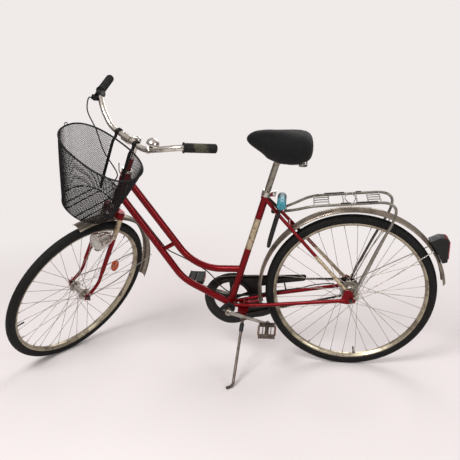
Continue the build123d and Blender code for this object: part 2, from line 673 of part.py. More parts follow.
def basket():
    # level axes: X forward, Y left, Z up from the foot of the steering axis
    level = Plane(origin=axis_foot, x_dir=(-1, 0, 0), z_dir=(0, 0, 1)).location
    def section(z, grow):
        k = (z - basket_low_z) / (basket_top_z - basket_low_z)
        back = basket_floor_back + k * (basket_rim_back - basket_floor_back)
        front = basket_floor_front + k * (basket_rim_front - basket_floor_front)
        half = basket_floor_half + k * (basket_rim_half - basket_floor_half)
        lean = z / math.tan(math.radians(head_angle))
        return basket_at(z, back - lean - grow, front - lean + grow, half + grow)
    outer = loft([section(basket_low_z, 0), section(basket_top_z, 0)], ruled=True)
    inner = loft([section(basket_low_z + basket_wall, -basket_wall), section(basket_top_z, -basket_wall)], ruled=True)
    add("steering", "basket", level * (outer - inner))
    # two flat straps hook over the bar and run down the back wall
    def back_x(z):
        k = (z - basket_low_z) / (basket_top_z - basket_low_z)
        return basket_floor_back + k * (basket_rim_back - basket_floor_back) - z / math.tan(math.radians(head_angle))
    bx = bar_forward * sin_h - bar_height * cos_h
    bz = bar_forward * cos_h + bar_height * sin_h
    off = bar_r + strap_thick / 2 + run_gap
    lie = strap_thick / 2 + run_gap
    straps = []
    for side in (-1, 1):
        line = [(bx - off, bz - 12), (bx - off, bz + off), (bx + off, bz + off), (bx + off + 1, bz - 12),
                (back_x(650) - lie, 650), (back_x(basket_low_z + 14) - lie, basket_low_z + 14)]
        path = FilletPolyline(*[Vector(x, side * strap_half, z) for x, z in line], radius=8)
        start = Plane(origin=path @ 0, x_dir=(0, 1, 0), z_dir=path % 0)
        straps.append(sweep(start * Rectangle(strap_width, strap_thick), path=path))
    low = basket_low_z + 20
    straps.append(Pos(back_x(low) - lie, 0, low) * Box(strap_thick, 2 * strap_half + strap_width, 12))
    straps = joined(straps) - (outer - inner)
    add("steering", "basket_straps", level * max(straps.solids(), key=lambda s: s.volume))


def add_steered(name, shape):
    add("steering", name, steer_plane.location * shape)


lamp_left = 74.0
lamp_up = 304.0
stand_hinge = Vector(-0.463, 0.851, -0.247).normalized()
fork_side()
basket()
stand()

front = wheel("front_wheel", front_flange_y, front_barrel_r, front_over_nuts, 3.0)
rear = wheel("rear_wheel", rear_flange_y, rear_barrel_r, rear_over_nuts, 7.0)
for body, set_of, at in (("front_wheel", front, front_axle), ("rear_wheel", rear, Vector(0, 0, 0))):
    tag = body.split("_")[0]
    for name, shape in zip(("tyre", "rim", "spokes"), set_of):
        add(body, tag + "_" + name, Pos(at.X, at.Y, at.Z) * shape)


# stance: steer, pitch and lean, then stand on the floor
def turned(v, axis, degrees):
    return v.rotate(Axis((0, 0, 0), tuple(axis)), degrees)


def tyre_low(centre, across):
    return centre.Z - (tyre_outer_r - tyre_section_r) * math.sqrt(max(0.0, 1 - across.Z ** 2)) - tyre_section_r


steered_hub = axis_foot + turned(front_axle - axis_foot, axis_dir, steer_left)
steered_axle = turned(Vector(0, 1, 0), axis_dir, steer_left)


def stance(v, pitch):
    return turned(turned(v, Vector(0, 1, 0), pitch), Vector(1, 0, 0), lean_left)


def uneven(pitch):
    rear_low = tyre_low(Vector(0, 0, 0), stance(Vector(0, 1, 0), pitch))
    return tyre_low(stance(steered_hub, pitch), stance(steered_axle, pitch)) - rear_low


low_pitch, high_pitch = -6.0, 6.0
for step in range(50):
    pitch = (low_pitch + high_pitch) / 2
    if (uneven(pitch) > 0) == (uneven(low_pitch) > 0):
        low_pitch = pitch
    else:
        high_pitch = pitch
lift = -tyre_low(Vector(0, 0, 0), stance(Vector(0, 1, 0), pitch))

# stand leg: as long as it takes to reach the floor
out, fwd = math.radians(stand_out), math.radians(stand_forward)
leg_dir = Vector(-math.sin(fwd), -math.sin(out) * math.cos(fwd), -math.cos(out) * math.cos(fwd))
top_point = stance(Vector(*stand_pivot), pitch)
fall = stance(leg_dir, pitch)
leg_length = (top_point.Z + lift - stand_foot_r) / -fall.Z
foot = Vector(*stand_pivot) + leg_dir * leg_length
leg = rod(stand_pivot, tuple(foot), stand_leg_r) + Pos(foot.X, foot.Y, foot.Z) * Sphere(stand_foot_r)
hub_of_stand = rod(tuple(Vector(*stand_pivot) - stand_hinge * 9), tuple(Vector(*stand_pivot) + stand_hinge * 6.5), 11)
pin = rod(tuple(Vector(*stand_pivot) - stand_hinge * 9), tuple(Vector(*stand_pivot) + stand_hinge * 22), 5.0)
add("side_stand", "side_stand", leg + hub_of_stand + pin)

steered = ("steering", "front_wheel")
placed = {}
for body, names in bodies.items():
    for name in names:
        shape = pieces[name]
        if body in steered:
            shape = shape.rotate(Axis(tuple(axis_foot), tuple(axis_dir)), steer_left)
        shape = shape.rotate(Axis.Y, pitch).rotate(Axis.X, lean_left)
        placed[name] = Pos(0, 0, lift) * shape

box = None
for shape in placed.values():
    b = shape.bounding_box()
    lo, hi = b.min, b.max
    if box is None:
        box = [lo.X, lo.Y, lo.Z, hi.X, hi.Y, hi.Z]
    else:
        box = [min(box[0], lo.X), min(box[1], lo.Y), min(box[2], lo.Z),
               max(box[3], hi.X), max(box[4], hi.Y), max(box[5], hi.Z)]
shift = Vector(-(box[0] + box[3]) / 2, -(box[1] + box[4]) / 2, 0)

os.makedirs("parts", exist_ok=True)
for name, shape in placed.items():
    export_step(Pos(shift.X, shift.Y, 0) * shape, "parts/" + name + ".step")


def report(label, point, direction):
    p = stance(point, pitch) + Vector(0, 0, lift) + shift
    d = stance(direction, pitch)
    print("AXIS", label, *(round(c, 5) for c in (p.X, p.Y, p.Z, d.X, d.Y, d.Z)))


right = Vector(0, 1, 0)
report("steering", axis_foot + axis_dir * 500, axis_dir)
report("front_wheel", steered_hub, steered_axle)
report("rear_wheel", Vector(0, 0, 0), right)
report("crank", bb, right * -1)
report("left_pedal", Vector(*pedal_at[-1]), right)
report("right_pedal", Vector(*pedal_at[1]), right)
report("side_stand", Vector(*stand_pivot), stand_hinge)


def report_steered(label, point, direction):
    p, d = steer_plane.location * Pos(*point), Vector(*direction)
    p = p.position - axis_foot
    d = forward_dir * d.X + Vector(0, -d.Y, 0) + axis_dir * d.Z
    report(label, axis_foot + turned(p, axis_dir, steer_left), turned(d, axis_dir, steer_left))


rear_end_y = stay_half_rear + dropout_thick / 2 + rear_nut_thick + axle_end / 2
front_end_y = blade_half_low + 2.5 + 7 + axle_end / 2
report("rear_axle_right", Vector(0, rear_end_y, 0), right)
report("rear_axle_left", Vector(0, -rear_end_y, 0), right * -1)
report_steered("front_axle_right", (fork_offset, -front_end_y, 0), (0, -1, 0))
report_steered("front_axle_left", (fork_offset, front_end_y, 0), (0, 1, 0))
report("seat_post", seat_top + seat_dir * (post_out / 2 - 8), seat_dir)
report_steered("bar_left", (bar_forward, 30, bar_height), (0, 1, 0))
report_steered("bar_right", (bar_forward, -30, bar_height), (0, -1, 0))
rail_at = -22.5
rail_z = 402 + (rail_at + 168) * 22 / 284
for side, label in ((-1, "rail_left"), (1, "rail_right")):
    report(label, Vector(rail_at, side * rack_half, rail_z), Vector(284, 0, 22).normalized())
report("rack_deck", Vector(-30, 0, rail_z), Vector(-22, 0, 284).normalized())
print("BODIES", bodies)
print("BOX", [round(v, 2) for v in box], "pitch", round(pitch, 4), "leg", round(leg_length, 1))
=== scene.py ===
import json
import math

import bmesh
import bpy
import numpy as np
from mathutils import Matrix, Vector


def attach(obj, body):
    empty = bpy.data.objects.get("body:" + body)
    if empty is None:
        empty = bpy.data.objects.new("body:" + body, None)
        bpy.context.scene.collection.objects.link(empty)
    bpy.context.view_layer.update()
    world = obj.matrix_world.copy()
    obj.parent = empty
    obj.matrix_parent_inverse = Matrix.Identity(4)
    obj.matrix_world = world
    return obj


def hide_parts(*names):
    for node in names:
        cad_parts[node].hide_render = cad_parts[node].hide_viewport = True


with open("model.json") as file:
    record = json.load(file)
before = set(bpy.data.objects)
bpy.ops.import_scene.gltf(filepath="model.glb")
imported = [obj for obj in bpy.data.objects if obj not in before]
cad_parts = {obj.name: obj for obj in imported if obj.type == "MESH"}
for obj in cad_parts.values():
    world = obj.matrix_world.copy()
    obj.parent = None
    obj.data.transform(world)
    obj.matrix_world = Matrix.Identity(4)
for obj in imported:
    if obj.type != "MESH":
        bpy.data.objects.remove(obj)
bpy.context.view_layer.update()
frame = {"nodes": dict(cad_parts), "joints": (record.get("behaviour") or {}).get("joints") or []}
joints = {joint["name"]: joint for joint in frame["joints"]}
nodes = frame["nodes"]
print("frame loaded with", len(nodes), "nodes")

# Town bicycle on its side stand, bars turned to the left. Metres throughout.
layout = {"forkOffset": 0.048}      # front axle ahead of the steering axis


def unit(v):
    v = np.asarray(v, float)
    return v / np.linalg.norm(v, axis=-1, keepdims=True)


def jointAt(name):
    return np.array(joints[name]["pos_m"]), unit(joints[name]["axis"])


# Axes of the bicycle and of its steered half, worked out from the joints.
# bike: X to the rear, Y right, Z up from the rear axle. steer: X forward,
# Y left, Z along the steering axis. level: as steer, with Z plumb when upright.
def findPlaces():
    rearHub, right = jointAt("rear_wheel_turn")
    steerAxis = jointAt("steering_turn")[1]
    frontHub, frontRight = jointAt("front_wheel_turn")
    ahead = np.cross(-frontRight, steerAxis)
    foot = frontHub - ahead * layout["forkOffset"]
    straightHub = foot + np.cross(steerAxis, right) * layout["forkOffset"]
    rearward = unit(rearHub - straightHub)
    up = np.cross(rearward, right)
    headAngle = math.acos(float(rearward @ steerAxis))
    sinH, cosH = math.sin(headAngle), math.cos(headAngle)
    flatAhead = sinH * ahead - cosH * steerAxis
    plumb = cosH * ahead + sinH * steerAxis
    return {
        "bike": (rearHub, np.array([rearward, right, up])),
        "steer": (foot, np.array([ahead, -frontRight, steerAxis])),
        "level": (foot, np.array([flatAhead, -frontRight, plumb])),
        "frontWheel": (frontHub, np.array([-flatAhead, frontRight, plumb])),
        "rearWheel": (rearHub, np.array([rearward, right, up])),
        "headAngle": headAngle,
    }


places = findPlaces()
bikeBack, bikeRight, bikeUp = places["bike"][1]
steerAhead, steerLeft, steerUp = places["steer"][1]
levelAhead, levelLeft, levelUp = places["level"][1]


# Local points (last axis x, y, z) to the row frame: origin plus the sum of each
# coordinate times its axis.
def toRow(points, place):
    origin, axes = places[place]
    return origin + np.asarray(points, float) @ axes


def inBike(x, y, z):
    return toRow(np.stack(np.broadcast_arrays(x, y, z), -1), "bike")


def direction(v, place):
    return np.asarray(v, float) @ places[place][1]


# Camera, light and stage
view = {
    "position": (0.27143, -2.37732, 1.25243),
    "right": (0.99363733, 0.11261998, -0.00126189),
    "up": (-0.02832672, 0.26073709, 0.96499418),
    "forward": (-0.10900665, 0.9588185, -0.26226826),
    "focalPixels": 607.06, "imagePixels": 460.0, "sensor": 36.0,
}


def makeCamera():
    data = bpy.data.cameras.new("camera")
    data.sensor_width = view["sensor"]
    data.lens = view["focalPixels"] / view["imagePixels"] * view["sensor"]
    data.dof.use_dof = False
    camera = bpy.data.objects.new("camera", data)
    turn = Matrix([Vector(view["right"]), Vector(view["up"]), -Vector(view["forward"])]).transposed()
    camera.matrix_world = Matrix.Translation(view["position"]) @ turn.to_4x4()
    bpy.context.scene.collection.objects.link(camera)
    bpy.context.scene.camera = camera


stage = {
    "backgroundColour": (0.871, 0.823, 0.815, 1.0),
    "skyLow": 0.10, "skyHigh": 0.85,     # strength of the sky's light below and overhead
    "floorColour": (0.70, 0.66, 0.655, 1.0), "floorHalf": 40.0,
    "fadeFrom": 1.1, "fadeTo": 2.6,
}

lamps = [
    # name, place, aim, side, watts
    ("keyLamp", (-1.2, -2.6, 3.3), (0.0, 0.0, 0.5), 1.5, 120.0),
    ("fillLamp", (2.6, -2.2, 1.6), (0.1, 0.0, 0.5), 1.2, 34.0),
    ("backLamp", (0.6, 2.8, 2.6), (0.0, 0.0, 0.5), 2.0, 46.0),
]


def makeLamps():
    for name, place, aim, side, watts in lamps:
        data = bpy.data.lights.new(name, "AREA")
        data.shape = "SQUARE"
        data.size = side
        data.energy = watts
        lamp = bpy.data.objects.new(name, data)
        lamp.location = place
        lamp.rotation_euler = (Vector(aim) - Vector(place)).to_track_quat("-Z", "Y").to_euler()
        bpy.context.scene.collection.objects.link(lamp)


def setInputs(node, values):
    for key, value in values.items():
        node.inputs[key].default_value = value


def addNode(tree, kind, values=None, **settings):
    made = tree.nodes.new(kind)
    for key, value in settings.items():
        setattr(made, key, value)
    setInputs(made, values or {})
    return made


def link(tree, source, output, target, socket):
    tree.links.new(source.outputs[output], target.inputs[socket])


# One for rays that see the background plainly: camera and clear ones
def plainRay(tree):
    path = addNode(tree, "ShaderNodeLightPath")
    whole = addNode(tree, "ShaderNodeMath", operation="ADD", use_clamp=True)
    link(tree, path, "Is Camera Ray", whole, 0)
    link(tree, path, "Is Transmission Ray", whole, 1)
    return whole


def makeWorld():
    world = bpy.data.worlds.new("studio")
    bpy.context.scene.world = world
    world.use_nodes = True
    tree = world.node_tree
    tree.nodes.clear()
    out = addNode(tree, "ShaderNodeOutputWorld")
    seen = addNode(tree, "ShaderNodeBackground", {"Color": stage["backgroundColour"], "Strength": 1.0})
    light = addNode(tree, "ShaderNodeBackground", {"Color": stage["backgroundColour"]})
    place = addNode(tree, "ShaderNodeTexCoord")
    parts = addNode(tree, "ShaderNodeSeparateXYZ")
    lift = addNode(tree, "ShaderNodeMapRange", {"From Min": -0.1, "From Max": 0.9,
                                                "To Min": stage["skyLow"], "To Max": stage["skyHigh"]})
    link(tree, place, "Generated", parts, 0)
    link(tree, parts, "Z", lift, "Value")
    link(tree, lift, 0, light, "Strength")
    mix = addNode(tree, "ShaderNodeMixShader")
    link(tree, plainRay(tree), 0, mix, "Fac")
    link(tree, light, 0, mix, 1)
    link(tree, seen, 0, mix, 2)
    link(tree, mix, 0, out, "Surface")


def newMaterial(name):
    material = bpy.data.materials.new(name)
    material.use_nodes = True
    tree = material.node_tree
    return material, tree, tree.nodes["Principled BSDF"]


# Pale floor that keeps the shadow near the wheels and melts into the background
def makeFloor():
    half = stage["floorHalf"]
    mesh = bpy.data.meshes.new("floor")
    corners = [(-half, -half, 0), (half, -half, 0), (half, half, 0), (-half, half, 0)]
    mesh.from_pydata(corners, [], [(0, 1, 2, 3)])
    floor = bpy.data.objects.new("floor", mesh)
    bpy.context.scene.collection.objects.link(floor)
    material, tree, shader = newMaterial("floorPaper")
    setInputs(shader, {"Base Color": stage["floorColour"], "Roughness": 0.9, "Specular IOR Level": 0.1})
    place = addNode(tree, "ShaderNodeTexCoord")
    reach = addNode(tree, "ShaderNodeVectorMath", operation="LENGTH")
    fade = addNode(tree, "ShaderNodeMapRange", {"From Min": stage["fadeFrom"], "From Max": stage["fadeTo"]},
                   interpolation_type="SMOOTHSTEP")
    far = addNode(tree, "ShaderNodeMath", operation="MULTIPLY")
    flat = addNode(tree, "ShaderNodeEmission", {"Color": stage["backgroundColour"], "Strength": 1.0})
    mix = addNode(tree, "ShaderNodeMixShader")
    link(tree, place, "Object", reach, 0)
    link(tree, reach, "Value", fade, "Value")
    link(tree, fade, 0, far, 0)
    link(tree, plainRay(tree), 0, far, 1)
    link(tree, far, 0, mix, "Fac")
    link(tree, shader, 0, mix, 1)
    link(tree, flat, 0, mix, 2)
    link(tree, mix, 0, tree.nodes["Material Output"], "Surface")
    mesh.materials.append(material)


makeCamera()
makeLamps()
makeWorld()
makeFloor()
bpy.context.scene.view_settings.view_transform = "Standard"
print("camera, lamps and floor made")


# Mesh building: a part is (points, list of face index arrays)
def gridFaces(rows, columns, closeRows, closeColumns):
    i = np.arange(rows if closeRows else rows - 1)
    j = np.arange(columns if closeColumns else columns - 1)
    i, j = np.meshgrid(i, j, indexing="ij")
    iNext, jNext = (i + 1) % rows, (j + 1) % columns
    quads = [i * columns + j, iNext * columns + j, iNext * columns + jNext, i * columns + jNext]
    return np.stack(quads, -1).reshape(-1, 4)


# A surface from points[i, j], the place at step i of u and step j of v; capped closes
# the first and last rows, each a loop of points, with a flat face
def surface(points, closeRows=False, closeColumns=False, capped=False):
    rows, columns = points.shape[:2]
    faces = [gridFaces(rows, columns, closeRows, closeColumns)]
    if capped:
        ring = np.arange(columns)
        faces += [ring[None, ::-1], (ring + (rows - 1) * columns)[None]]
    return points.reshape(-1, 3), faces


# Many tubes at once. paths[k, n] are centre points; each ring is the point plus
# radius times (cos a * side + sin a * lift), square to the path there.
def tubes(paths, radius, sides=8, reference=(0.0, 0.0, 1.0), closed=False):
    paths = np.asarray(paths, float)
    if paths.ndim == 2:
        paths = paths[None]
    count, steps = paths.shape[:2]
    along = unit(np.roll(paths, -1, 1) - np.roll(paths, 1, 1) if closed else np.gradient(paths, axis=1))
    side = unit(np.cross(along, np.broadcast_to(np.asarray(reference, float), along.shape)))
    lift = np.cross(along, side)
    angle = np.arange(sides) * 2 * math.pi / sides
    radius = np.broadcast_to(np.asarray(radius, float), (count, steps))[..., None, None]
    ring = side[:, :, None] * np.cos(angle)[:, None] + lift[:, :, None] * np.sin(angle)[:, None]
    points = (paths[:, :, None] + radius * ring).reshape(-1, 3)
    shift = np.arange(count)[:, None, None] * steps * sides
    faces = [(gridFaces(steps, sides, closed, True)[None] + shift).reshape(-1, 4)]
    if not closed:
        start = np.arange(sides)
        ends = np.stack([start[::-1], start + (steps - 1) * sides])
        faces.append((ends[None] + shift).reshape(-1, sides))
    return points, faces


# A profile turned about an axis: profile[n] is (distance out, distance along)
def turnedPart(profile, centre, axis, steps=48, closedProfile=False):
    profile = np.asarray(profile, float)
    axis = unit(axis)
    first = unit(np.cross(axis, (1.0, 0, 0) if abs(axis[0]) < 0.8 else (0, 1.0, 0)))
    second = np.cross(axis, first)
    angle = np.arange(steps) * 2 * math.pi / steps
    out = np.cos(angle)[:, None] * first + np.sin(angle)[:, None] * second
    points = np.asarray(centre) + out[:, None] * profile[None, :, :1] + axis * profile[None, :, 1:]
    verts, faces = surface(points, True, closedProfile)
    if not closedProfile:
        columns = len(profile)
        rows = np.arange(steps) * columns
        faces += [rows[None, ::-1], (rows + columns - 1)[None]]
    return verts, faces


# Profile of a plain cylinder from low to high along its axis
def drum(radius, low, high):
    return [(0.0, low), (radius, low), (radius, high), (0.0, high)]


# Boxes from corner signs times half sizes along their own axes[k, 3, 3]
def blocks(centres, halves, axes):
    centres = np.array(centres)
    signs = np.array([(x, y, z) for x in (-1, 1) for y in (-1, 1) for z in (-1, 1)], float)
    halves = np.broadcast_to(np.asarray(halves, float), centres.shape)
    points = centres[:, None] + (signs[None] * halves[:, None]) @ np.asarray(axes)
    six = np.array([[0, 1, 3, 2], [4, 6, 7, 5], [0, 4, 5, 1], [2, 3, 7, 6], [0, 2, 6, 4], [1, 5, 7, 3]])
    faces = six[None] + np.arange(len(points))[:, None, None] * 8
    return points.reshape(-1, 3), [faces.reshape(-1, 4)]


# Flat plates: outlines[m, n] are loops of points, pushed out from low[m] to high[m]
def prisms(outlines, low, high):
    outlines = np.asarray(outlines, float)
    count, corners = outlines.shape[:2]
    low = np.broadcast_to(np.asarray(low, float), (count, 3))
    high = np.broadcast_to(np.asarray(high, float), (count, 3))
    points = np.stack([outlines + low[:, None], outlines + high[:, None]], 1)
    base = np.arange(count)[:, None] * 2 * corners
    ring = np.arange(corners)
    caps = np.concatenate([base + ring[::-1], base + corners + ring])
    after = (ring + 1) % corners
    sides = np.stack([ring, after, corners + after, corners + ring], -1)
    return points.reshape(-1, 3), [caps, (base[:, :, None] + sides[None]).reshape(-1, 4)]


# Plate with a hole: both edges have the same number of points
def ringPlate(outer, inner, low, high):
    return surface(np.stack([outer + low, outer + high, inner + high, inner + low], 1), True, True)


# Flat strip of steel: at each path point a rectangle, width to the sides, thick up and down
def ribbon(path, across, width, thick):
    along = unit(np.gradient(path, axis=0))
    across = np.broadcast_to(unit(across), path.shape)
    lift = unit(np.cross(along, across))
    corners = [(-1, -1), (1, -1), (1, 1), (-1, 1)]
    points = np.stack([path + a * across * width / 2 + b * lift * thick / 2 for a, b in corners], 1)
    return surface(points, False, True, capped=True)


# Path through points with each corner eased: (1-t)^2 a + 2t(1-t) corner + t^2 b
def eased(points, bend, steps=9):
    points = np.asarray(points, float)
    t = np.linspace(0, 1, steps)[:, None]
    path = [points[:1]]
    for before, corner, after in zip(points, points[1:], points[2:]):
        back, on = before - corner, after - corner
        a = corner + unit(back) * min(bend, np.linalg.norm(back) * 0.48)
        b = corner + unit(on) * min(bend, np.linalg.norm(on) * 0.48)
        path.append((1 - t) ** 2 * a + 2 * t * (1 - t) * corner + t ** 2 * b)
    path.append(points[-1:])
    return np.concatenate(path)


def ringOf(radius, centre, first, second, steps):
    a = np.arange(steps) * 2 * math.pi / steps
    radius = np.broadcast_to(radius, a.shape)[:, None]
    return np.asarray(centre) + radius * (np.cos(a)[:, None] * first + np.sin(a)[:, None] * second)


def makePiece(name, parts, body, finish, stands=None, smooth=40.0):
    verts = np.concatenate([points for points, faces in parts])
    offset, loops, totals = 0, [], []
    for points, faces in parts:
        for group in faces:
            loops.append((group + offset).ravel())
            totals.append(np.full(len(group), group.shape[1]))
        offset += len(points)
    loops, totals = np.concatenate(loops).astype(np.int32), np.concatenate(totals).astype(np.int32)
    starts = np.concatenate([[0], np.cumsum(totals)[:-1]]).astype(np.int32)
    mesh = bpy.data.meshes.new(name)
    mesh.vertices.add(len(verts))
    mesh.vertices.foreach_set("co", verts.astype(np.float32).ravel())
    mesh.loops.add(len(loops))
    mesh.loops.foreach_set("vertex_index", loops)
    mesh.polygons.add(len(totals))
    mesh.polygons.foreach_set("loop_start", starts)
    mesh.polygons.foreach_set("loop_total", totals)
    mesh.update(calc_edges=True)
    work = bmesh.new()
    work.from_mesh(mesh)
    bmesh.ops.recalc_face_normals(work, faces=work.faces)
    work.to_mesh(mesh)
    work.free()
    mesh.materials.append(materials[finish])
    piece = bpy.data.objects.new(name, mesh)
    bpy.context.scene.collection.objects.link(piece)
    mesh.polygons.foreach_set("use_smooth", np.ones(len(totals), bool))
    mesh.set_sharp_from_angle(angle=math.radians(smooth))
    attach(piece, body)
    if stands:
        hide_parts(stands)
    return piece


def roundEdges(piece, width):
    rounded = piece.modifiers.new("rounded", "BEVEL")
    rounded.width, rounded.segments = width, 3


# Materials. Each reads Object coordinates in metres, so scales are per metre.
def noise(tree, scale, detail=4.0, roughness=0.6):
    place = addNode(tree, "ShaderNodeTexCoord")
    texture = addNode(tree, "ShaderNodeTexNoise", {"Scale": scale, "Detail": detail, "Roughness": roughness})
    link(tree, place, "Object", texture, "Vector")
    return texture


def ramp(tree, source, stops):
    made = addNode(tree, "ShaderNodeValToRGB")
    for element, (position, colour) in zip(made.color_ramp.elements, stops):
        element.position = position
        element.color = (*colour, 1.0)
    link(tree, source, "Fac", made, "Fac")
    return made


def mapRange(tree, source, output, lowIn, highIn, lowOut, highOut):
    made = addNode(tree, "ShaderNodeMapRange",
                   {"From Min": lowIn, "From Max": highIn, "To Min": lowOut, "To Max": highOut})
    link(tree, source, output, made, "Value")
    return made


def bump(tree, shader, source, output, strength, distance):
    made = addNode(tree, "ShaderNodeBump", {"Strength": strength, "Distance": distance})
    link(tree, source, output, made, "Height")
    link(tree, made, 0, shader, "Normal")


def mixColours(tree, factor, first, second):
    made = addNode(tree, "ShaderNodeMix", data_type="RGBA")
    link(tree, factor, 0, made, 0)
    for socket, colour in ((6, first), (7, second)):
        if isinstance(colour, tuple):
            made.inputs[socket].default_value = (*colour, 1.0)
        else:
            link(tree, colour, 2 if colour.bl_idname == "ShaderNodeMix" else 0, made, socket)
    return made


# How far a surface point lies along a line: (point - origin) . axis
def along(tree, origin, axis):
    place = addNode(tree, "ShaderNodeTexCoord")
    shift = addNode(tree, "ShaderNodeVectorMath", {1: tuple(origin)}, operation="SUBTRACT")
    dot = addNode(tree, "ShaderNodeVectorMath", {1: tuple(axis)}, operation="DOT_PRODUCT")
    link(tree, place, "Object", shift, 0)
    link(tree, shift, 0, dot, 0)
    return dot


# One between low and high along a measure, zero outside
def band(tree, source, low, high, edge=0.0004):
    above = mapRange(tree, source, "Value", low - edge, low + edge, 0.0, 1.0)
    below = mapRange(tree, source, "Value", high - edge, high + edge, 1.0, 0.0)
    both = addNode(tree, "ShaderNodeMath", operation="MULTIPLY")
    link(tree, above, 0, both, 0)
    link(tree, below, 0, both, 1)
    return both


paint = {
    "deep": (0.085, 0.0012, 0.0024), "bright": (0.25, 0.0032, 0.0075),
    "cream": (0.46, 0.38, 0.26), "creamDark": (0.20, 0.14, 0.08),
    "chip": (0.035, 0.028, 0.025),
}


# Metallic red lacquer. panels are plain cream bands: (origin, axis, low, high)
def redLacquer(name, panels=()):
    material, tree, shader = newMaterial(name)
    body = ramp(tree, noise(tree, 900.0, 2.0), [(0.25, paint["deep"]), (0.75, paint["bright"])])
    soft = mapRange(tree, noise(tree, 9.0, 5.0), "Fac", 0.35, 0.75, 0.0, 0.45)
    colour = mixColours(tree, soft, body, paint["deep"])
    chips = noise(tree, 160.0, 8.0, 0.7)
    colour = mixColours(tree, mapRange(tree, chips, "Fac", 0.71, 0.73, 0.0, 1.0), colour, paint["chip"])
    for origin, axis, low, high in panels:
        inside = band(tree, along(tree, origin, axis), low, high)
        cream = ramp(tree, noise(tree, 60.0, 6.0, 0.7), [(0.38, paint["creamDark"]), (0.52, paint["cream"])])
        colour = mixColours(tree, inside, colour, cream)
    link(tree, colour, 2, shader, "Base Color")
    link(tree, mapRange(tree, noise(tree, 35.0, 5.0), "Fac", 0.3, 0.8, 0.26, 0.5), 0, shader, "Roughness")
    setInputs(shader, {"Metallic": 0.7, "Specular IOR Level": 0.2})
    setInputs(shader, {"Coat Weight": 0.12, "Coat Roughness": 0.12})
    bump(tree, shader, chips, "Fac", 0.12, 0.0004)
    return material


finishes = {
    # bright colour, dark colour, spread of roughness, grain per metre, metal share, depth of grain, shine
    "chrome": ((0.60, 0.56, 0.51), (0.36, 0.31, 0.26), (0.17, 0.30), 30.0, 1.0, 0.00002, 0.5),
    "hubSteel": ((0.52, 0.49, 0.45), (0.14, 0.11, 0.08), (0.2, 0.45), 70.0, 1.0, 0.0001, 0.5),
    "spokeSteel": ((0.40, 0.37, 0.33), (0.16, 0.13, 0.10), (0.25, 0.45), 50.0, 0.9, 0.0001, 0.5),
    "dullAlloy": ((0.40, 0.375, 0.34), (0.17, 0.145, 0.12), (0.25, 0.45), 42.0, 0.95, 0.0001, 0.5),
    "guardSteel": ((0.28, 0.235, 0.19), (0.105, 0.08, 0.06), (0.22, 0.42), 14.0, 0.85, 0.0001, 0.5),
    "rimSteel": ((0.38, 0.33, 0.24), (0.13, 0.10, 0.075), (0.25, 0.45), 24.0, 0.85, 0.0001, 0.5),
    "rackPaint": ((0.21, 0.195, 0.165), (0.10, 0.085, 0.07), (0.3, 0.5), 30.0, 0.7, 0.0001, 0.4),
    "chainSteel": ((0.040, 0.032, 0.025), (0.008, 0.007, 0.006), (0.35, 0.6), 220.0, 0.7, 0.0003, 0.3),
    "blackEnamel": ((0.0050, 0.0045, 0.0040), (0.0022, 0.0020, 0.0019), (0.3, 0.5), 60.0, 0.0, 0.0001, 0.3),
    "blackWire": ((0.0040, 0.0038, 0.0036), (0.0018, 0.0018, 0.0018), (0.4, 0.6), 90.0, 0.0, 0.0001, 0.22),
    "blackPlastic": ((0.0055, 0.0050, 0.0046), (0.0024, 0.0022, 0.0022), (0.4, 0.6), 400.0, 0.0, 0.0002, 0.3),
    "gripRubber": ((0.0075, 0.0070, 0.0055), (0.0025, 0.0024, 0.0022), (0.55, 0.8), 160.0, 0.0, 0.0005, 0.25),
    "tyreRubber": ((0.0052, 0.0049, 0.0046), (0.0020, 0.0020, 0.0019), (0.6, 0.85), 140.0, 0.0, 0.0003, 0.22),
    "turquoise": ((0.055, 0.30, 0.36), (0.03, 0.085, 0.10), (0.3, 0.5), 45.0, 0.0, 0.0003, 0.3),
    "postSteel": ((0.25, 0.23, 0.19), (0.12, 0.10, 0.08), (0.25, 0.45), 30.0, 0.9, 0.0001, 0.4),
    "standSteel": ((0.13, 0.105, 0.085), (0.055, 0.043, 0.034), (0.35, 0.55), 60.0, 0.8, 0.0001, 0.4),
    # Lighter brownish finish for the chain case's rolled top edge: a painted highlight on the black case
    "caseEdgePaintedHighlight": ((0.16, 0.14, 0.115), (0.05, 0.042, 0.034), (0.35, 0.55), 40.0, 0.4, 0.0001, 0.4),
    "darkBolt": ((0.10, 0.09, 0.08), (0.03, 0.025, 0.02), (0.35, 0.55), 120.0, 0.8, 0.0003, 0.4),
}


# Worn finish: bright and dark mixed by clouds, with roughness and fine grain
def wornFinish(name):
    bright, dark, (smoothest, roughest), scale, metal, depth, shine = finishes[name]
    material, tree, shader = newMaterial(name)
    clouds = noise(tree, scale, 6.0, 0.65)
    link(tree, ramp(tree, clouds, [(0.34, dark), (0.52, bright)]), 0, shader, "Base Color")
    link(tree, mapRange(tree, clouds, "Fac", 0.3, 0.7, roughest, smoothest), 0, shader, "Roughness")
    setInputs(shader, {"Metallic": metal, "Specular IOR Level": shine})
    bump(tree, shader, noise(tree, scale * 9, 3.0), "Fac", 0.35, depth)
    return material


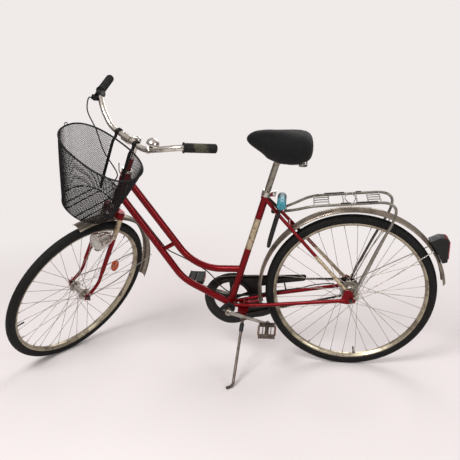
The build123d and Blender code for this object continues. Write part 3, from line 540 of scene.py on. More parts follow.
# Tinted plastic, its ribs a sine of the distance along an axis
def lensMaterial(name, colour, transmission, ribsPerMetre, axis):
    material, tree, shader = newMaterial(name)
    setInputs(shader, {"Transmission Weight": transmission, "IOR": 1.49})
    clouds = noise(tree, 50.0, 3.0)
    shade = tuple(channel * 0.6 for channel in colour)
    link(tree, ramp(tree, clouds, [(0.3, shade), (0.7, colour)]), 0, shader, "Base Color")
    link(tree, mapRange(tree, clouds, "Fac", 0.3, 0.7, 0.22, 0.08), 0, shader, "Roughness")
    turns = addNode(tree, "ShaderNodeMath", {1: ribsPerMetre * 2 * math.pi}, operation="MULTIPLY")
    wave = addNode(tree, "ShaderNodeMath", operation="SINE")
    link(tree, along(tree, (0, 0, 0), axis), "Value", turns, 0)
    link(tree, turns, 0, wave, 0)
    bump(tree, shader, wave, 0, 0.5, 0.0006)
    return material


def clothMaterial(name):
    material, tree, shader = newMaterial(name)
    stops = [(0.3, (0.0018, 0.0018, 0.0018)), (0.75, (0.0045, 0.0042, 0.0040))]
    colour = ramp(tree, noise(tree, 22.0, 5.0), stops)
    link(tree, colour, 0, shader, "Base Color")
    setInputs(shader, {"Roughness": 0.82, "Specular IOR Level": 0.2})
    setInputs(shader, {"Sheen Weight": 0.05, "Sheen Roughness": 0.5})
    weave = addNode(tree, "ShaderNodeTexVoronoi", {"Scale": 900.0})
    link(tree, addNode(tree, "ShaderNodeTexCoord"), "Object", weave, "Vector")
    total = addNode(tree, "ShaderNodeMath", {1: 0.25}, operation="MULTIPLY_ADD")
    link(tree, weave, "Distance", total, 0)
    link(tree, noise(tree, 45.0, 4.0), "Fac", total, 2)
    bump(tree, shader, total, 0, 0.6, 0.0022)
    return material


materials = {name: wornFinish(name) for name in finishes}
materials["saddleCloth"] = clothMaterial("saddleCloth")
materials["redLens"] = lensMaterial("redLens", (0.42, 0.012, 0.015), 0.15, 260.0, bikeRight)
materials["clearLens"] = lensMaterial("clearLens", (0.62, 0.58, 0.52), 0.35, 190.0, steerLeft)
materials["amberLens"] = lensMaterial("amberLens", (0.62, 0.085, 0.004), 0.05, 320.0, steerAhead)
print("materials made")

# Seat tube line for its panels: up from the bracket axle
seatTube = {"bracket": (-0.499, 0.0, -0.0727), "leanDegrees": 17.25, "panel": (0.276, 0.416)}
lean = math.radians(seatTube["leanDegrees"])
seatAxis = direction((math.sin(lean), 0.0, math.cos(lean)), "bike")
seatFoot = toRow(seatTube["bracket"], "bike")
panels = {
    "redLacquer": [],
    "redSeatTube": [(seatFoot, seatAxis, *seatTube["panel"])],
    "redStays": [(places["bike"][0], bikeUp, 0.030, 0.185)],
    "redFork": [(places["steer"][0], steerUp, 0.292, 0.385)],
}
for name, bands in panels.items():
    materials[name] = redLacquer(name, bands)

# CAD nodes of each finish
painted = {
    "redLacquer": "head_tube bottom_bracket top_tube down_tube frame_brace chain_stays stand_bracket",
    "redSeatTube": "seat_tube", "redStays": "seat_stays", "redFork": "fork", "postSteel": "seat_post",
    "chrome": "headset_cups saddle_springs handlebar stem bell headlamp_body",
    "guardSteel": "rear_mudguard front_mudguard", "rackPaint": "rear_rack",
    "spokeSteel": "rear_mudguard_stays front_mudguard_stays front_spokes rear_spokes side_stand",
    "blackPlastic": "rear_lamp_housing lock_shackle lock_bracket right_pedal_body gear_control",
    "redLens": "rear_lamp_lens", "clearLens": "headlamp_lens", "chainSteel": "chain rear_sprocket",
    "blackEnamel": "chain_guard chainring", "dullAlloy": "brake_arm crankset left_pedal_body",
    "darkBolt": "rear_axle front_axle", "turquoise": "lock_bar", "gripRubber": "left_grip right_grip",
    "rimSteel": "front_rim rear_rim", "tyreRubber": "front_tyre rear_tyre",
}
for finish, names in painted.items():
    for name in names.split():
        nodes[name].data.materials.clear()
        nodes[name].data.materials.append(materials[finish])
print("CAD nodes painted")

basket = {
    "topUp": 0.681, "lowUp": 0.458,          # rim and floor above the steering foot
    # middle and half size, ahead and to the left
    "rim": (0.177, 0.093, -0.016, 0.2035, 2.4),
    "floor": (0.150, 0.085, -0.012, 0.117, 2.2), "bulge": 1.1,
    "pitch": 0.0080, "wire": 0.00088, "slant": 1.05, "wireSteps": 22,    # diamond mesh
    "floorShare": 0.72, "floorInset": 0.0015,
    "rimWire": 0.0033, "ringWire": 0.0026, "rodWire": 0.0024,
    "gapHalf": 0.046, "gapFrom": 0.30,        # opening of the back wall between the straps
    "rods": (-0.076, -0.048, 0.010, 0.038),
    "strapSide": 0.050, "strapWidth": 0.013, "strapThick": 0.003, "strapHeights": (0.94, 0.6, 0.3, 0.05),
    "barForward": 0.058, "barUp": 0.728, "barRadius": 0.0111,
    "eyeletShare": 0.75, "eyeletUp": 0.0085, "eyeletRadius": 0.0065, "eyeletWire": 0.0016,
}


# Rounded outline from the middle of the back round the left side to the front and
# home along the right: a superellipse, |x/a|^n + |y/b|^n = 1
def basketOutline(ring, share):
    middleX, halfX, middleY, halfY, power = basket[ring]
    a = 2 * math.pi * np.asarray(share, float)
    x = middleX - halfX * np.sign(np.cos(a)) * np.abs(np.cos(a)) ** (2 / power)
    y = middleY + halfY * np.sign(np.sin(a)) * np.abs(np.sin(a)) ** (2 / power)
    return x, y


# Level place at a height, moved back as the steering axis leans
def leaned(x, y, z):
    z = np.broadcast_to(z, np.shape(x))
    x = x - z / math.tan(places["headAngle"])
    return toRow(np.stack([x, np.broadcast_to(y, z.shape), z], -1), "level")


# Wall point at share s round the outline and share t from floor to rim: the two
# outlines mixed by w = 1 - (1 - t)^bulge
def basketPoint(s, t):
    s, t = np.broadcast_arrays(np.asarray(s, float), np.asarray(t, float))
    lowX, lowY = basketOutline("floor", s)
    topX, topY = basketOutline("rim", s)
    w = 1 - (1 - t) ** basket["bulge"]
    z = basket["lowUp"] + t * (basket["topUp"] - basket["lowUp"])
    return leaned((1 - w) * lowX + w * topX, (1 - w) * lowY + w * topY, z)


# Two sets of wires crossing the wall, cut where they meet the opening in the back
def meshWires():
    ring = basketPoint(np.linspace(0, 1, 400), 1.0)
    length = float(np.linalg.norm(np.diff(ring, axis=0), axis=1).sum())
    height = basket["topUp"] - basket["lowUp"]
    count = round(length / basket["pitch"])
    slant = height / length * basket["slant"]
    steps = basket["wireSteps"]
    t = np.linspace(0, 1, steps)[None]
    start = (np.arange(count) / count)[:, None]
    share = np.concatenate([start - slant * t, start + slant * t])
    height01 = np.broadcast_to(t, share.shape)
    fromBack = np.abs(np.mod(share + 0.5, 1.0) - 0.5)
    sideways = np.abs((basketPoint(share, height01) - places["level"][0]) @ levelLeft)
    inGap = (fromBack < 0.24) & (sideways < basket["gapHalf"]) & (height01 > basket["gapFrom"])
    touched = inGap.any(1)
    shares, heights = [share[~touched]], [height01[~touched]]
    first = inGap[touched].argmax(1)
    last = steps - 1 - inGap[touched][:, ::-1].argmax(1)
    lowEnd = np.maximum(first - 1, 0)[:, None] / (steps - 1)
    highStart = np.minimum(last + 1, steps - 1)[:, None] / (steps - 1)
    base = share[touched][:, :1]
    drift = share[touched][:, -1:] - base
    for part in (t * lowEnd, highStart + t * (1 - highStart)):
        keep = (part[:, -1] - part[:, 0]) > 0.02
        shares.append((base + drift * part)[keep])
        heights.append(part[keep])
    return basketPoint(np.concatenate(shares), np.concatenate(heights))


# Straight wires across the floor, each cut to the floor's outline
def floorWires(angle, pitch):
    ring = np.stack(basketOutline("floor", np.linspace(0, 1, 160, endpoint=False)), 1)
    turn = np.array([math.cos(angle), math.sin(angle)])
    across = np.array([-turn[1], turn[0]])
    centre = ring.mean(0)
    reach = np.abs((ring - centre) @ across).max() - pitch / 2
    starts = centre + np.arange(-reach, reach, pitch)[:, None] * across
    edge = np.roll(ring, -1, 0) - ring
    normal = np.stack([edge[:, 1], -edge[:, 0]], 1)
    if ((centre - ring[0]) @ normal[0]) > 0:
        normal = -normal
    depth = ((ring[None] - starts[:, None]) * normal[None]).sum(-1)
    speed = (turn * normal).sum(-1)[None]
    reachAt = np.divide(depth, speed, out=np.full(depth.shape, np.nan), where=np.abs(speed) > 1e-9)
    high = np.nanmin(np.where(speed > 1e-9, reachAt, np.inf), 1) - basket["floorInset"]
    low = np.nanmax(np.where(speed < -1e-9, reachAt, -np.inf), 1) + basket["floorInset"]
    keep = high - low > pitch
    low, high, starts = low[keep], high[keep], starts[keep]
    s = np.linspace(0, 1, 4)[None, :, None]
    line = starts[:, None] + turn * (low[:, None, None] + s * (high - low)[:, None, None])
    return leaned(line[..., 0], line[..., 1], basket["lowUp"])


def rodAcross(y):
    middleX, halfX, middleY, halfY, power = basket["floor"]
    reach = halfX * (1 - abs((y - middleY) / halfY) ** power) ** (1 / power)
    return leaned(np.linspace(middleX - reach, middleX + reach, 12), y, basket["lowUp"] - 0.002)


# Place on the wall at a sideways distance y and height share t, behind the wires
def behindWall(y, t, gap):
    shares = np.linspace(-0.2, 0.2, 401)
    line = (basketPoint(shares, np.full(401, t)) - places["level"][0]) @ places["level"][1].T
    found = line[np.abs(line[:, 1] - y).argmin()]
    return (found[0] - gap, y, found[2])


# Strap: a hook over the bar, then down the wall
def strapPath(side):
    y, gap = side * basket["strapSide"], basket["strapThick"] / 2 + 0.0006
    sinH, cosH = math.sin(places["headAngle"]), math.cos(places["headAngle"])
    barX = basket["barForward"] * sinH - basket["barUp"] * cosH
    barZ = basket["barForward"] * cosH + basket["barUp"] * sinH
    off = basket["barRadius"] + gap
    hook = [(barX - off, y, barZ - 0.012), (barX - off, y, barZ + off), (barX + off, y, barZ + off),
            (barX + off, y, barZ - 0.010)]
    return toRow(eased(hook + [behindWall(y, t, gap) for t in basket["strapHeights"]], 0.008), "level")


def makeBasket():
    hoops = []
    for steps, t, wire, sides in ((120, 1.0, basket["rimWire"], 10), (96, 0.0, basket["ringWire"], 8)):
        hoop = basketPoint(np.linspace(0, 1, steps, endpoint=False), t)
        hoops.append(tubes(hoop, wire, sides, levelUp, closed=True))
    ends = (behindWall(side * (basket["strapSide"] + 0.006), basket["gapFrom"], 0.001) for side in (1, -1))
    left, right = map(np.array, ends)
    hoops.append(tubes(toRow([left, (left + right) / 2, right], "level"), basket["rodWire"], 8, levelUp))
    eyelet = basketPoint(basket["eyeletShare"], 1.0) + levelUp * basket["eyeletUp"]
    loop = ringOf(basket["eyeletRadius"], eyelet, levelAhead, levelUp, 20)
    hoops.append(tubes(loop, basket["eyeletWire"], 8, levelLeft, closed=True))
    for side in (1, -1):
        hoops.append(ribbon(strapPath(side), levelLeft, basket["strapWidth"], basket["strapThick"]))
    hoops += [tubes(rodAcross(y), basket["rodWire"], 8, levelUp) for y in basket["rods"]]
    makePiece("basketHoops", hoops, "steering", "blackWire", "basket_straps")
    wires = [tubes(meshWires(), basket["wire"], 4, levelUp)]
    for angle in (math.radians(45), math.radians(-45)):
        lines = floorWires(angle, basket["pitch"] * basket["floorShare"])
        wires.append(tubes(lines, basket["wire"], 4, levelUp))
    makePiece("basketMesh", wires, "steering", "blackWire", "basket")


makeBasket()
print("basket woven")

tyre = {
    "outer": 0.349, "section": 0.019, "seat": 0.315, "around": 640, "acrossSteps": 34,
    "grooveDepth": 0.0012, "blockCount": 160,
    "treadHalf": 1.05,       # half angle of the tread round the section
}


# Tyre: a ring of section angles b; radius out = centre + r cos b, sideways = r sin b,
# with r less in the grooves: slanted lines on the shoulders, two lines round the crown
def makeTyre(name, place, body, node):
    section = tyre["section"]
    u = np.arange(tyre["around"]) * 2 * math.pi / tyre["around"]
    bead = math.acos((tyre["seat"] - (tyre["outer"] - section)) / section)
    b = np.linspace(-bead, bead, tyre["acrossSteps"])
    u, b = np.meshgrid(u, b, indexing="ij")
    slant = np.mod(u * tyre["blockCount"] / (2 * math.pi) + np.abs(b) * 1.6, 1.0)
    shoulder = (np.abs(b) > 0.36) & (np.abs(b) < tyre["treadHalf"]) & (slant < 0.26)
    crown = (np.abs(np.abs(b) - 0.30) < 0.05) | (np.abs(np.abs(b) - tyre["treadHalf"] - 0.04) < 0.035)
    wallLine = np.abs(np.abs(b) - 1.75) < 0.05
    r = section - tyre["grooveDepth"] * (shoulder | crown) - 0.0005 * wallLine
    out = tyre["outer"] - section + r * np.cos(b)
    points = toRow(np.stack([out * np.cos(u), r * np.sin(b), out * np.sin(u)], -1), place)
    makePiece(name, [surface(points, True, True)], body, "tyreRubber", node, smooth=50.0)


makeTyre("frontTyreTread", "frontWheel", "front_wheel", "front_tyre")
makeTyre("rearTyreTread", "rearWheel", "rear_wheel", "rear_tyre")
print("tyres moulded")

saddle = {
    # along the bicycle, half width, middle height, half height
    "sections": [
        (-0.4185, 0.004, 0.650, 0.004), (-0.414, 0.013, 0.650, 0.012), (-0.405, 0.022, 0.6495, 0.0205),
        (-0.386, 0.031, 0.647, 0.032), (-0.360, 0.042, 0.640, 0.042), (-0.337, 0.052, 0.629, 0.054),
        (-0.290, 0.074, 0.619, 0.0605), (-0.245, 0.093, 0.618, 0.0605), (-0.2155, 0.100, 0.619, 0.0575),
        (-0.190, 0.094, 0.621, 0.050), (-0.176, 0.075, 0.622, 0.039), (-0.1695, 0.048, 0.622, 0.026),
        (-0.1668, 0.015, 0.622, 0.008)],
    "lengthSteps": 72, "roundSteps": 80, "squareness": 2.5,
    "voxel": 0.005, "pressure": 4.0, "swell": 0.004, "gather": 0.0022, "gathers": 34,
}


# Saddle cover: at each station a superellipse, y = w |cos|^(2/n), z = mid + h |sin|^(2/n),
# the stations eased between the table's rows
def saddlePoints():
    table = np.array(saddle["sections"])
    ease = np.linspace(0, 1, saddle["lengthSteps"])
    reach = np.concatenate([[0], np.cumsum(np.linalg.norm(np.diff(table[:, [0, 1]], axis=0), axis=1))])
    station = np.stack([np.interp(ease * reach[-1], reach, table[:, k]) for k in range(4)], 1)
    kernel = np.array([1, 2, 3, 2, 1]) / 9
    padded = np.pad(station, ((2, 2), (0, 0)), mode="edge")
    station = sum(kernel[k] * padded[k:k + len(station)] for k in range(5))
    a = np.arange(saddle["roundSteps"]) * 2 * math.pi / saddle["roundSteps"]
    power = 2 / saddle["squareness"]
    x, w, mid, h = (column[:, None] for column in station.T)
    y = w * np.sign(np.cos(a)) * np.abs(np.cos(a)) ** power
    z = mid + h * np.sign(np.sin(a)) * np.abs(np.sin(a)) ** power
    return inBike(x, y, z)


def coordinates(piece):
    points = np.zeros(len(piece.data.vertices) * 3)
    piece.data.vertices.foreach_get("co", points)
    return points.reshape(-1, 3)


# Even mesh blown up by the pressure inside, no point moving more than the cap
def stuffed(piece, voxel, pressure, cap):
    bpy.context.view_layer.objects.active = piece
    remesh = piece.modifiers.new("even", "REMESH")
    remesh.mode = "VOXEL"
    remesh.voxel_size = voxel
    bpy.ops.object.modifier_apply(modifier=remesh.name)
    rest = coordinates(piece)
    cloth = piece.modifiers.new("fill", "CLOTH")
    cloth.settings.use_pressure = True
    cloth.settings.uniform_pressure_force = pressure
    cloth.settings.effector_weights.gravity = 0
    cloth.settings.quality = 5
    for step in range(1, 21):
        bpy.context.scene.frame_set(step)
    bpy.ops.object.modifier_apply(modifier=cloth.name)
    bpy.context.scene.frame_set(1)
    step = coordinates(piece) - rest
    size = np.linalg.norm(step, axis=1, keepdims=True)
    moved = rest + step * np.minimum(1.0, cap / np.maximum(size, 1e-9))
    piece.data.vertices.foreach_set("co", moved.ravel())


# Gathers: near the lower edge the cloth ripples in and out with the angle round
def gatherCover(piece):
    origin, axes = places["bike"]
    local = (coordinates(piece) - origin) @ axes.T
    angle = np.arctan2(local[:, 1], local[:, 0] + 0.27)
    low = np.clip((0.612 - local[:, 2]) / 0.05, 0, 1) ** 1.5
    ripple = np.sin(angle * saddle["gathers"] + 3 * np.sin(angle * 5)) * 0.6 + 0.4 * np.sin(angle * 53 + 1.0)
    outward = np.stack([np.cos(angle), np.sin(angle), np.zeros(len(angle))], 1)
    local += outward * (saddle["gather"] * low * ripple)[:, None]
    fold = np.exp(-((local[:, 0] + 0.335 - 0.35 * (local[:, 2] - 0.62)) / 0.006) ** 2)
    local[:, 1] -= np.sign(local[:, 1]) * fold * 0.0022 * np.clip(np.abs(local[:, 1]) / 0.03, 0, 1)
    piece.data.vertices.foreach_set("co", (origin + local @ axes).ravel())


def makeSaddle():
    cover = makePiece("saddleCover", [surface(saddlePoints(), False, True, capped=True)], "frame",
                      "saddleCloth")
    stuffed(cover, saddle["voxel"], saddle["pressure"], saddle["swell"])
    gatherCover(cover)
    cover.data.polygons.foreach_set("use_smooth", np.ones(len(cover.data.polygons), bool))
    finer = cover.modifiers.new("finer", "SUBSURF")
    finer.levels = finer.render_levels = 1
    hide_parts("saddle")


makeSaddle()
print("saddle covered")

drive = {
    "bracket": (-0.499, -0.0727), "side": 0.047, "pitch": 0.0127, "ringTeeth": 46, "cogTeeth": 18,
    "roller": 0.0038, "rivet": 0.0016, "plateHigh": 0.0042, "plateWaist": 0.0028, "plateThick": 0.0010,
    "innerGap": 0.0014, "armCount": 5, "armTurn": -17.0, "ringHalf": 0.0013, "rimDeep": 0.017,
    "armHalf": 0.0012, "cogHalf": 0.0011, "cogBore": 0.0198, "toothRoot": 0.0036, "toothHigh": 0.0062,
}
ringRadius = drive["pitch"] / 2 / math.sin(math.pi / drive["ringTeeth"])
cogRadius = drive["pitch"] / 2 / math.sin(math.pi / drive["cogTeeth"])


# Chain pins (x, z) at distances s along the loop: two straight runs tangent to both
# toothed wheels and an arc round each
def chainPins():
    bracket, cog = np.array(drive["bracket"]), np.zeros(2)
    gap = float(np.hypot(*bracket))
    line = math.atan2(-bracket[1], -bracket[0])
    spread = math.asin((ringRadius - cogRadius) / gap)
    run = gap * math.cos(spread)
    cogArc = cogRadius * (math.pi - 2 * spread)
    length = 2 * run + cogArc + ringRadius * (math.pi + 2 * spread)
    count = 2 * round(length / drive["pitch"] / 2)
    s = np.arange(count) * length / count
    up, down = line + math.pi / 2 - spread, line - math.pi / 2 + spread

    def rim(centre, radius, angle):
        return centre + radius * np.stack([np.cos(angle), np.sin(angle)], -1)

    ringUp, cogUp = rim(bracket, ringRadius, up), rim(cog, cogRadius, up)
    ringDown, cogDown = rim(bracket, ringRadius, down), rim(cog, cogRadius, down)
    share = np.clip(s / run, 0, 1)[:, None]
    home = np.clip((s - run - cogArc) / run, 0, 1)[:, None]
    onCog = rim(cog, cogRadius, up - (s - run) / cogRadius)
    onRing = rim(bracket, ringRadius, down - (s - 2 * run - cogArc) / ringRadius)
    before = [(s < end)[:, None] for end in (run, run + cogArc, 2 * run + cogArc)]
    runs = [ringUp + share * (cogUp - ringUp), onCog, cogDown + home * (ringDown - cogDown)]
    return np.select(before, runs, onRing)


# Link plate: round ends about both pins, drawn in at the waist
def makeChain():
    pins = chainPins()
    ahead = np.roll(pins, -1, 0) - pins
    size = np.linalg.norm(ahead, axis=1, keepdims=True)
    along = ahead / size
    lift = np.stack([-along[:, 1], along[:, 0]], 1)
    a = np.radians([75, 128, 180, 232, 285])
    high, waist, thick, gap = drive["plateHigh"], drive["plateWaist"], drive["plateThick"], drive["innerGap"]
    tail = np.stack([high * np.cos(a), high * np.sin(a)], 1)
    nose = tail[::-1] * [-1, 1]
    outline = []
    for k in range(len(pins)):
        length = size[k, 0]
        flat = np.concatenate([tail, [(length / 2, -waist)], nose + (length, 0), [(length / 2, waist)]])
        outline.append(pins[k] + flat[:, :1] * along[k] + flat[:, 1:] * lift[k])
    outline = np.array(outline)
    loops = inBike(outline[..., 0], drive["side"], outline[..., 1])
    near = bikeRight * (gap + (np.arange(len(pins)) % 2)[:, None] * thick)
    far = near + bikeRight * thick
    pinsAt = inBike(pins[:, 0], drive["side"], pins[:, 1])[:, None]
    steps = np.linspace(-1, 1, 3)[None, :, None]
    rollers = tubes(pinsAt + steps * bikeRight * gap, drive["roller"], 8, bikeUp)
    rivets = tubes(pinsAt + steps * (bikeRight * (gap + 2.6 * thick)), drive["rivet"], 6, bikeUp)
    parts = [prisms(loops, near, far), prisms(loops, -near, -far), rollers, rivets]
    makePiece("chainLinks", parts, "frame", "chainSteel", "chain")


# Toothed edge: radius = root + height * raised cosine of the tooth angle
def toothedEdge(centre, radius, teeth, half, inner):
    a = np.arange(teeth * 8) * 2 * math.pi / (teeth * 8)
    r = radius - drive["toothRoot"] + drive["toothHigh"] * np.clip(0.5 + 0.85 * np.cos(teeth * a), 0, 1)
    outer = inBike(centre[0] + r * np.cos(a), 0.0, centre[1] + r * np.sin(a))
    hole = inBike(centre[0] + inner * np.cos(a), 0.0, centre[1] + inner * np.sin(a))
    return ringPlate(outer, hole, bikeRight * (drive["side"] - half), bikeRight * (drive["side"] + half))


def makeRing():
    bracket, y, rim = drive["bracket"], drive["side"], ringRadius - 0.015
    inner = ringRadius - drive["rimDeep"]
    parts = [toothedEdge(bracket, ringRadius, drive["ringTeeth"], drive["ringHalf"], inner)]
    arms = []
    for k in range(drive["armCount"]):
        turn = math.radians(drive["armTurn"] + 72 * k)
        out = np.array([math.cos(turn), -math.sin(turn)])
        side = np.array([out[1], -out[0]])
        shape = [(0.012, 0.011), (0.046, 0.006), (rim, 0.0095), (rim, -0.0095), (0.046, -0.006),
                 (0.012, -0.011)]
        arms.append([np.array(bracket) + u * out + v * side for u, v in shape])
    arms = np.array(arms)
    push = bikeRight * drive["armHalf"]
    parts.append(prisms(inBike(arms[..., 0], y, arms[..., 1]), -push, push))
    boss = [(0.0095, -0.006), (0.0215, -0.006), (0.0225, -0.004), (0.0225, 0.004), (0.0215, 0.006),
            (0.0095, 0.006)]
    parts.append(turnedPart(boss, inBike(bracket[0], y, bracket[1]), bikeRight, 40, closedProfile=True))
    makePiece("toothedRing", parts, "crank", "blackEnamel", "chainring")
    cog = toothedEdge((0.0, 0.0), cogRadius, drive["cogTeeth"], drive["cogHalf"], drive["cogBore"])
    makePiece("toothedCog", [cog], "frame", "chainSteel", "rear_sprocket")


makeChain()
makeRing()
print("chain linked")

wheels = {
    # nipples stand in the rim's inner face, one at each spoke
    "spokes": 36, "rimInner": 0.3024, "nippleLong": 0.013, "nippleRadius": 0.0021,
    "spread": 0.0021, "lace": 0.0013, "phases": {"front": 3.0, "rear": 7.0},
    "valves": {"front": 176.8, "rear": -84.2},       # degrees round from the rear towards the top
    "valve": [(0.0, 0.0), (0.0042, 0.0), (0.0042, 0.004), (0.0028, 0.005), (0.0028, 0.020), (0.0033, 0.0205),
              (0.0033, 0.032), (0.0018, 0.034), (0.0, 0.034)],
    # spoke reflector of the front wheel: ahead of and above the axle, in steering axes
    "reflector": (-0.1668, 0.0935), "reflectorHalf": (0.021, 0.032), "reflectorSide": 0.0068,
    "dome": [(0.002, 0.0038), (0.55, 0.0038), (0.9, 0.0030), (1.0, 0.0016), (1.0, -0.0030), (0.9, -0.0038),
             (0.002, -0.0038)],
}


def makeNipples(tag, place):
    k = np.arange(wheels["spokes"])
    angle = np.radians(k * 360 / wheels["spokes"] + wheels["phases"][tag])
    flange, lacing = np.where(k % 2 == 1, -1, 1), np.where((k // 2) % 2 == 1, 1, -1)
    side = flange * wheels["spread"] + lacing * wheels["lace"]
    reach = wheels["rimInner"] - wheels["nippleLong"] * np.array([0, 0.7, 1])
    out = np.stack([np.cos(angle), np.zeros(len(k)), np.sin(angle)], 1)
    paths = reach[None, :, None] * out[:, None] + side[:, None, None] * np.array([0, 1.0, 0])
    radii = np.array([1.0, 0.85, 0.6]) * wheels["nippleRadius"]
    nipples = tubes(toRow(paths, place), radii, 6, places[place][1][1])
    turn = math.radians(wheels["valves"][tag])
    stem = np.array([math.cos(turn), 0, math.sin(turn)])
    valve = turnedPart(wheels["valve"], toRow(stem * 0.303, place), direction(-stem, place), 16)
    makePiece(tag + "Nipples", [nipples], tag + "_wheel", "hubSteel")
    makePiece(tag + "Valve", [valve], tag + "_wheel", "blackPlastic")


def makeReflector():
    x, z = wheels["reflector"]
    centre = toRow((layout["forkOffset"] + x, wheels["reflectorSide"], z), "steer")
    halfX, halfZ = wheels["reflectorHalf"]
    a = np.arange(40)[:, None] * 2 * math.pi / 40
    edge = halfX * np.cos(a) * levelAhead + halfZ * np.sin(a) * levelUp
    rings = np.stack([centre + share * edge + out * steerLeft for share, out in wheels["dome"]])
    makePiece("wheelReflector", [surface(rings, False, True, capped=True)], "front_wheel", "amberLens")


for tag in ("front", "rear"):
    makeNipples(tag, tag + "Wheel")
makeReflector()
print("nipples and valves set")

# Gear cable in two cords, parted at the head; points listed
cables = {
    "diameter": 0.005,
    "upper": [
        (0.0686, -0.221, 0.790), (0.096, -0.214, 0.788), (0.104, -0.190, 0.745), (0.066, -0.158, 0.684),
        (0.050, -0.100, 0.618), (0.022, -0.027, 0.560), (0.022, -0.027, 0.520)],
    "start": [(0.022, -0.027, 0.5197), (0.022, -0.027, 0.492)],
    "lower": [
        (-0.9565, 0.027, 0.4234), (-0.9344, 0.028, 0.3988), (-0.900, 0.0173, 0.372), (-0.793, 0.0172, 0.212),
        (-0.757, 0.0172, 0.166), (-0.688, 0.0172, 0.128), (-0.596, 0.0172, 0.069), (-0.540, 0.030, -0.008),
        (-0.500, 0.038, -0.042), (-0.430, 0.032, -0.051), (-0.309, 0.046, -0.0332), (-0.204, 0.054, -0.018),
        (-0.150, 0.064, -0.008), (-0.100, 0.075, -0.006), (-0.060, 0.082, -0.008)],
}


# Smooth route through points: Catmull-Rom, each stretch a cubic of its four nearest points
def throughPoints(points, steps=14):
    points = np.asarray(points, float)
    ends = np.concatenate([[2 * points[0] - points[1]], points, [2 * points[-1] - points[-2]]])
    t = (np.arange(steps) / steps)[:, None]
    parts = []
    for a, b, c, d in zip(ends, ends[1:], ends[2:], ends[3:]):
        parts.append(0.5 * (2 * b + (c - a) * t + (2 * a - 5 * b + 4 * c - d) * t ** 2
                            + (3 * b - a - 3 * c + d) * t ** 3))
    return np.concatenate(parts + [points[-1:]])


def makeCable(name, points, body):
    path = throughPoints(points)
    piece = makePiece(name, [tubes(path, cables["diameter"] / 2, 10)], body, "blackPlastic")


makeCable("gearCableUpper", toRow(cables["upper"], "steer"), "steering")
lowerPoints = [toRow(cables["start"], "steer"), toRow(cables["lower"], "bike")]
makeCable("gearCableLower", np.concatenate(lowerPoints), "frame")

rack = {
    "half": 0.057, "tube": 0.0055, "wire": 0.0025, "bend": 0.036,
    # right rail and leg; the left one mirrors it
    "rail": [(-0.272, 0.022, 0.366), (-0.226, 0.040, 0.380), (-0.168, 0.057, 0.402), (0.116, 0.057, 0.424),
             (0.152, 0.057, 0.398), (0.143, 0.057, 0.344), (0.092, 0.063, 0.236), (0.020, 0.0715, 0.062),
             (0.011, 0.0745, 0.030)],
    "splitHigh": 0.31, "rise": (22, 284),
    "wiresAt": (-0.158, -0.102, -0.047, 0.004, 0.045, 0.092),
    "sideWires": ((-0.158, -0.102), (0.045, 0.092)), "sideWireY": 0.024,
    "clip": (-0.030, -0.010), "bar": (-0.268, 0.025, 0.3665),
    # side, from, to along the deck
    "pads": ((1, -0.118, -0.040), (1, 0.004, 0.026), (-1, -0.060, -0.022), (-1, -0.002, 0.078)),
}


def deckHigh(x):
    return 0.402 + (x + 0.168) * rack["rise"][0] / rack["rise"][1]


def makeRack():
    rails, shadedFarLeg = [], []
    half, wire = rack["half"], rack["wire"]
    for side in (-1, 1):
        path = eased(np.array(rack["rail"]) * (1, side, 1), rack["bend"], 12)
        split = int((path[:, 2] < rack["splitHigh"])[20:].argmax()) + 20
        for part, home in ((path[:split + 1], rails), (path[split:], rails if side < 0 else shadedFarLeg)):
            home.append(tubes(toRow(part, "bike"), rack["tube"], 12, bikeRight))
    for x in rack["wiresAt"]:
        rails.append(tubes(inBike(x, np.array([-half, 0.0, half]), deckHigh(x)), wire, 8, bikeUp))
    for start, end in rack["sideWires"]:
        for y in (-rack["sideWireY"], 0.0, rack["sideWireY"]):
            x = np.linspace(start, end, 9)
            bow = 0.004 * np.sin(np.linspace(0, math.pi, 9))
            rails.append(tubes(inBike(x, y + bow, deckHigh(x) + 0.001), wire * 0.8, 8, bikeUp))
    for x0, bend in zip(rack["clip"], (-1, 1)):
        y = np.linspace(-half, half, 25)
        x = x0 + bend * 0.010 * np.cos(y / half * math.pi / 2) ** 2
        rails.append(tubes(inBike(x, y, deckHigh(x) + 0.004), wire * 0.8, 8, bikeUp))
    x, y, z = rack["bar"]
    rails.append(tubes(inBike(x, np.array([-y, 0.0, y]), z), rack["tube"] * 0.9, 10, bikeUp))
    makePiece("rackRails", rails, "frame", "rackPaint", "rear_rack")
    # The far leg takes the darker bolt finish instead of the rack paint: painted shade on the leg on the far
    # side
    makePiece("rackFarLegPaintedShade", shadedFarLeg, "frame", "darkBolt")
    centres, halves = [], []
    for side, start, end in rack["pads"]:
        x = (start + end) / 2
        centres.append(inBike(x, side * (half + 0.0005), deckHigh(x) + 0.005))
        halves.append(((end - start) / 2, 0.004, 0.0028))
    tilt = math.atan2(*rack["rise"])
    axes = [direction((math.cos(tilt), 0, math.sin(tilt)), "bike"), bikeRight,
            direction((-math.sin(tilt), 0, math.cos(tilt)), "bike")]
    pads = makePiece("rackPads", [blocks(centres, halves, axes)], "frame", "blackPlastic")
    roundEdges(pads, 0.0018)


makeRack()
print("rack bent")

rearLamp = {
    "half": 0.024, "guard": 0.3816, "from": 39.9, "to": 23.8,
    "corners": [(0.369, 0.159), (0.367, 0.2532), (0.3573, 0.2615), (0.3286, 0.2633)],
    "lens": [(0.3670, 0.172), (0.3723, 0.174), (0.3707, 0.246), (0.362, 0.2585), (0.352, 0.2635),
             (0.352, 0.260), (0.3655, 0.250)],
    "lensHalf": 0.021,
}


